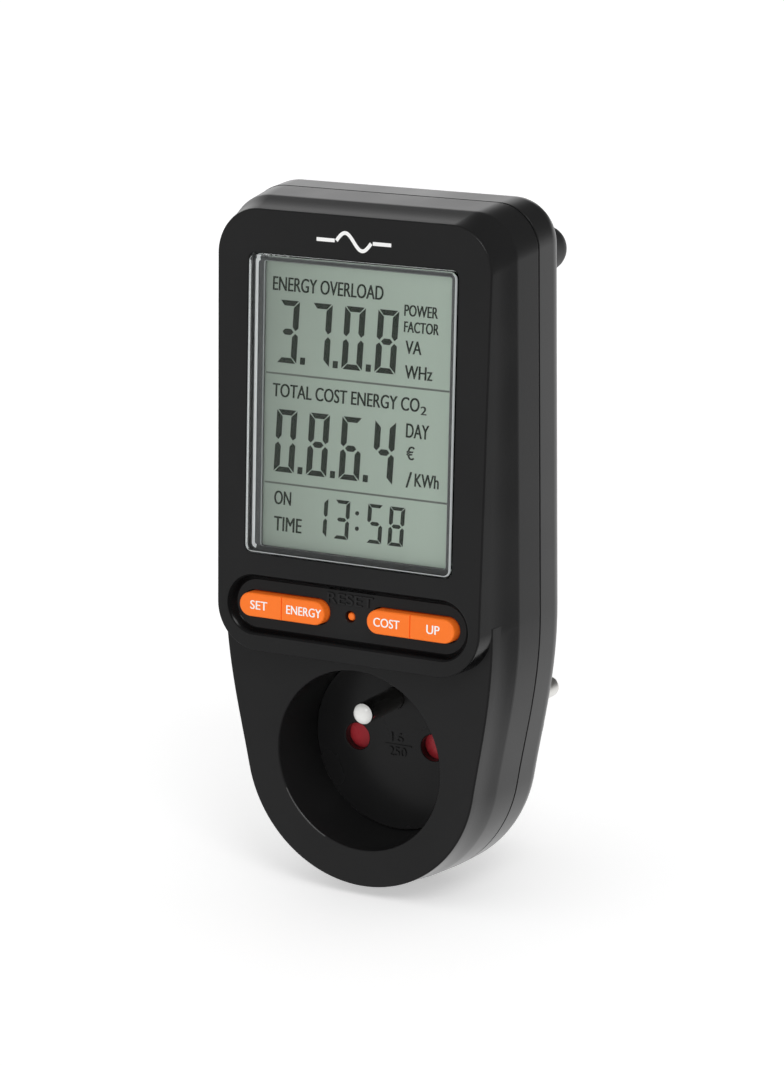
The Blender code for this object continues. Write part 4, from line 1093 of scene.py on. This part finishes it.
# ---- keys
def make_keys():
    """Four orange half pills with printed legends, and the reset button as a short pin."""
    # Painted glow: the keys give off a little orange light of their own so they read brighter.
    set_inputs(principled(MATERIALS["orange_key"]), {
        "Specular IOR Level": 0.3, "Emission Color": (1.0, 0.06, 0.0, 1.0), "Emission Strength": 0.12})
    middle = sum(KEY_SPAN) / 2
    split = 0.045
    edge = (0.55, 0.45)  # how deep and how wide a cap's rounded edge is
    profile = [(KEY_TOP + edge[0] * (1 - cosine), -edge[1] * (1 - sine)) for cosine, sine in quarter(6)]
    profile += [(TRAY_BACK + GAP, 0.0), (TRAY_BACK + GAP, 0.6), (6.6, 0.6)]
    inner_half = ((KEY_SPAN[0], middle - split), (True, False), -0.3)
    outer_half = ((middle + split, KEY_SPAN[1]), (False, True), 0.3)
    layout = (("set", -1, outer_half, 4.2), ("energy", -1, inner_half, 8.6), ("cost", 1, inner_half, 6.3),
              ("up", 1, outer_half, 3.1))
    for label, side, (span, round_ends, shift), width in layout:
        node = label + "_key"
        sections = [(depth, key_outline(side, span, round_ends, grow)) for depth, grow in profile]
        made = loft(label + "_cap", sections, console)
        standard(made, "orange_key", node, node)
        made.visible_glossy = False
        left = side * (sum(span) / 2 + shift) - width / 2
        lettering(label + "_legend", label.upper(), left, KEY_HEIGHT - 0.9, width, 1.9, KEY_TOP + 0.005, 0.02,
                  WHITE_INK, node, 0.04)

    dome = 0.45
    pin = [(6.6, 0), (6.6, 2.2), (TRAY_BACK + GAP, 2.2), (TRAY_BACK + GAP, 2 * dome)]
    pin += [(2.75 - dome * sine, dome + dome * cosine) for cosine, sine in quarter(8)] + [(2.3, 0)]
    made = turned("reset_cap", pin, 0, RESET_HEIGHT, console, 40)
    standard(made, "orange_key", "reset_key", "reset_key")


# ---- socket
def make_socket_insert():
    """The well's floor: a disc with a raised rim behind the wall, shutter rails and holes for the pins."""
    corners = [(17.8, 0), (17.8, 18.2), (21.7, 18.2), (21.7, WELL_TUBE_RADIUS), (18.0, WELL_TUBE_RADIUS),
               (18.0, INSERT_RADIUS), (WELL_DEPTH, INSERT_RADIUS), (WELL_DEPTH, 0)]
    profile = rounded(corners, (0, 0, 0, 0, 0, 0.25))
    insert = turned("well_floor", profile, sides=128)
    for side in (-1, 1):
        inner, outer = sorted((side * 14.2, side * 15.4))
        join(insert, block("shutter_rail", (inner, 17, -8.5), (outer, 21.3, 8.5)))
    for side in (-1, 1):
        cut(insert, flared("socket_hole", lambda grow: circle(HOLE_RADIUS + grow, side * PIN_SIDE, 0, 56), 19,
                           0.25, start=WELL_DEPTH))
    cut(insert, rod("pin_hole", 14, 19, PIN_RADIUS + 0.1, 0, EARTH_HEIGHT, sides=40))
    standard(insert, "black_gloss", "socket_insert", "case")
    # Painted highlight on the lower left of the floor's edge.
    paint(insert, PAINTED_RIM_HIGHLIGHT, SOCKET_AHEAD,
          lambda along, face: 0.15 < along < 0.97 and lower_left(face.center, INSERT_RADIUS - 0.11, 0.25))


def make_pin(name, start, tip, round_off, x, z, material):
    """A pin along depth, square at its start and domed at its tip."""
    back = math.copysign(round_off, start - tip)
    profile = [(start, 0), (start, PIN_RADIUS)]
    for cosine, sine in quarter(9):
        profile.append((tip + back * (1 - sine), PIN_RADIUS - round_off * (1 - cosine)))
    made = turned(name + "_fine", profile + [(tip, 0)], x, z)
    return piece(made, material, "case", [name], 40)


def make_pins():
    tip, start = depths("earth_pin")
    earth = make_pin("earth_pin", start, tip, 2.1, 0, EARTH_HEIGHT, MATERIALS["nickel"])
    # Painted highlight on the earth pin's domed tip.
    paint(earth, PAINTED_PIN_HIGHLIGHT, SOCKET_AHEAD, lambda along, face: along > 0.3)
    for side, label in ((-1, "left"), (1, "right")):
        name = "plug_pin_" + label
        make_pin(name, *depths(name), 1.5, side * PIN_SIDE, 0, SATIN_NICKEL)


def make_clips():
    """Spring strips of the side earth contacts, bowed outwards, with rounded edges."""
    path = [(38.2, 13.3), (38.2, 16.9), (39.4, 17.4), (42.0, 18.2), (45.0, 19.0), (47.0, 19.1), (49.0, 18.4),
            (51.2, 16.9)]
    fine = smooth_path(path, 5)
    section = stadium(3.2, 0.28, 0, 8)
    for side, label in ((1, "top"), (-1, "bottom")):
        rings = []
        for i, (depth, z) in enumerate(fine):
            before = fine[max(i - 1, 0)]
            after = fine[min(i + 1, len(fine) - 1)]
            along = Vector((after[0] - before[0], after[1] - before[1])).normalized()
            rings.append([body(u, depth - along.y * v, side * (z + along.x * v)) for u, v in section])
        made = skin("earth_clip_%s_fine" % label, rings)
        standard(made, "nickel", "earth_clip_" + label, "case", 50)


def smooth_path(points, steps):
    """A Catmull-Rom curve through 2-D points."""
    path = []
    for i in range(len(points) - 1):
        p0 = points[max(i - 1, 0)]
        p1 = points[i]
        p2 = points[i + 1]
        p3 = points[min(i + 2, len(points) - 1)]
        for k in range(steps):
            t = k / steps
            at = []
            for a, b, c, d in zip(p0, p1, p2, p3):
                square = (2 * a - 5 * b + 4 * c - d) * t * t
                cube = (3 * b - a - 3 * c + d) * t ** 3
                at.append(0.5 * (2 * b + (c - a) * t + square + cube))
            path.append(tuple(at))
    path.append(tuple(points[-1]))
    return path


def make_shutter():
    """The red plate behind the holes: under each hole a sloping face, a step and a ledge."""
    front, back = depths("shutter")
    half_x = high("shutter").x
    half_z = high("shutter").z
    made = block("shutter_fine", (-half_x, front, -half_z), (half_x, back, half_z), 0.3)
    for side in (-1, 1):
        wedge = block("ramp", (-3.4, -4, -6), (3.4, 0, 8), 0.1, place=lambda x, y, z: (x, y, z))
        wedge.rotation_euler = (math.radians(-24), 0, 0)
        wedge.location = Vector(body(side * PIN_SIDE, front - 1.2, 0)) * MM
        cut(made, wedge)
    standard(made, "red_shutter", "shutter", "shutter", 25)


def make_spring():
    bottom = low("shutter_spring").z
    top = high("shutter_spring").z
    wire = 0.22
    coil = 1.3
    axis_depth = 19.85
    turns = 7
    steps = 20
    points = []
    for i in range(turns * steps + 1):
        angle = math.tau * i / steps
        height = bottom + wire + (top - bottom - 2 * wire) * i / (turns * steps)
        points.append(body(coil * math.cos(angle), axis_depth + coil * math.sin(angle), height))
    made = tube_along("shutter_spring_fine", points, wire, 8)
    standard(made, "steel", "shutter_spring", "case", 60)
    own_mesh(made)


# ---- screws and inner pieces
def make_screw(node, place_at, x, z, head, seat, shank, tip, facing=1):
    """A cross-head screw; facing is 1 where its head lies behind its seat and -1 where in front."""
    reach, tall = head
    tall *= facing
    pitch = 0.9 * facing
    profile = [(seat + tall, 0), (seat + tall, reach * 0.6), (seat + tall * 0.75, reach * 0.88),
               (seat + tall * 0.4, reach), (seat, reach), (seat, shank)]
    for i in range(int(abs(tip - seat) / 0.9)):
        at = seat - (i + 0.4) * pitch
        profile += [(at, shank), (at - pitch / 3, shank * 0.78), (at - pitch * 2 / 3, shank)]
    profile += [(tip + facing * 0.4, shank * 0.6), (tip, 0)]
    screw = turned(node + "_fine", profile, x, z, place_at, 32)
    near, far = sorted((seat + tall * 0.45, seat + tall + facing))
    slot = (reach * 0.55, reach * 0.2)
    for half_x, half_z in (slot, slot[::-1]):
        low_corner = (x - half_x, near, z - half_z)
        cut(screw, block("recess", low_corner, (x + half_x, far, z + half_z), 0, place_at))
    standard(screw, "steel", node, "case")


def make_screws():
    small = (2.0, 1.4)
    for label, (x, z) in zip(("top_left", "top_right", "bottom_left", "bottom_right"), CASE_SCREWS):
        make_screw("case_screw_" + label, body, x, z, (2.8, 1.9), 21.8, 1.35, 7.5)
    for label, (x, z) in zip(("left", "right"), BOARD_SCREWS):
        make_screw("board_screw_" + label, console, x, z, small, BOARD_DEPTH + 1.6 + GAP, 0.8, 5.0)
    for label, (x, z) in zip(("left", "right"), POWER_SCREWS):
        make_screw("power_screw_" + label, body, x, z, small, 24.7, 0.8, 29.5, -1)


def finish_cad_nodes():
    """Gives every CAD node that still shows the finish of its material slot."""
    slots = {part["node"]: part["material_slot"] for part in frame["record"]["subparts"]}
    for name, node in frame["nodes"].items():
        if node.hide_render:
            continue
        node.data.materials.clear()
        node.data.materials.append(MATERIALS[slots[name]])


# ---- the stage
def make_floor():
    work = bmesh.new()
    bmesh.ops.create_circle(work, cap_ends=True, segments=96, radius=6000)
    bmesh.ops.translate(work, verts=work.verts, vec=(0, 0, CAD_BOX[0][2] / MM - 0.3))
    floor = new_object("floor", work)
    material, _, shader = shader_of("pale_floor", (0.8, 0.8, 0.8), 0.9)
    set_inputs(shader, {"Emission Color": (1, 1, 1, 1), "Emission Strength": 0.45})
    floor.data.materials.append(material)
    floor.visible_glossy = False


def direction(azimuth, elevation):
    """A unit vector; azimuth 0 is +X and 90 is +Y, into the wall."""
    a = math.radians(azimuth)
    e = math.radians(elevation)
    return Vector((math.cos(a) * math.cos(e), math.sin(a) * math.cos(e), math.sin(e)))


# Softboxes as seen in reflections: azimuth, elevation, inner and outer angle of the edge, brightness.
SOFTBOXES = (
    (81, -25, 30, 37, 1.36),
    (121, 13, 8, 22, 1.75),
    (172, -12, 20, 50, 0.35),
    (240, -28, 14, 50, 0.34),
    (-47, 46, 7, 15, 7.0),
    (-120, 40, 20, 45, 0.3),
)
GROUND_GLOW = 0.12
SOFT_GLOW = 0.85  # what matt surfaces are lit by, from all round


def make_world():
    """White for the camera; for everything else a dim studio with soft lights, fixed in space."""
    world = bpy.data.worlds.new("studio")
    bpy.context.scene.world = world
    world.use_nodes = True
    tree = world.node_tree
    tree.nodes.clear()

    def background(strength):
        return add_node(tree, "Background", {"Strength": strength}).outputs["Background"]

    def choose(factor, first, second):
        return add_node(tree, "MixShader", {0: factor, 1: first, 2: second}).outputs["Shader"]

    looking = add_node(tree, "TexCoord", {}).outputs["Generated"]
    total = GROUND_GLOW
    for azimuth, elevation, inner, outer, strength in SOFTBOXES:
        towards = add_node(tree, "VectorMath", {0: looking, 1: direction(azimuth, elevation)},
                           operation='DOT_PRODUCT').outputs["Value"]
        dark, full = [math.cos(math.radians(angle)) for angle in (outer, inner)]
        light = ranged(tree, towards, dark, full, 0.0, strength, interpolation_type='SMOOTHSTEP')
        total = add_maths(tree, 'ADD', total, light)
    path = add_node(tree, "LightPath", {}).outputs
    after_diffuse = add_maths(tree, 'GREATER_THAN', path["Diffuse Depth"], 0.5)
    unseen = choose(after_diffuse, background(total), background(SOFT_GLOW))
    everything = choose(path["Is Camera Ray"], unseen, background(1.0))
    add_node(tree, "OutputWorld", {"Surface": everything})


CAMERA_ANGLES = [math.radians(angle) for angle in (30.23, 14.09, -0.74)]
CAMERA_DISTANCE = 838.8
CAMERA_LENS = 133.98
CAMERA_AIM = (50.4153, 7.895)  # height, and how far to the camera's right


def make_camera():
    """The view from the right and a little above; its angles are azimuth, elevation and roll."""
    azimuth, elevation, roll = CAMERA_ANGLES
    back = Vector((math.sin(azimuth) * math.cos(elevation), -math.cos(azimuth) * math.cos(elevation),
                   math.sin(elevation)))
    right = Vector((math.cos(azimuth), math.sin(azimuth), 0))
    up = back.cross(right)
    rolled_right = right * math.cos(roll) + up * math.sin(roll)
    rolled_up = up * math.cos(roll) - right * math.sin(roll)
    aim = Vector(body(0, 0, CAMERA_AIM[0])) + right * CAMERA_AIM[1]
    data = bpy.data.cameras.new("camera")
    data.sensor_width = 36
    data.sensor_fit = 'AUTO'
    data.lens = CAMERA_LENS
    camera = bpy.data.objects.new("camera", data)
    bpy.context.scene.collection.objects.link(camera)
    matrix = Matrix((rolled_right, rolled_up, back)).transposed().to_4x4()
    matrix.translation = (aim + back * CAMERA_DISTANCE) * MM
    camera.matrix_world = matrix
    bpy.context.scene.camera = camera
    bpy.context.scene.view_settings.view_transform = 'Standard'


make_camera()
make_front_housing()
make_rear_housing()
make_plug_base()
make_feet()
make_lens()
make_lcd()
make_digits()
make_display_words()
make_marks()
make_keys()
make_socket_insert()
make_pins()
make_clips()
make_shutter()
make_spring()
make_screws()
finish_cad_nodes()
make_floor()
make_world()
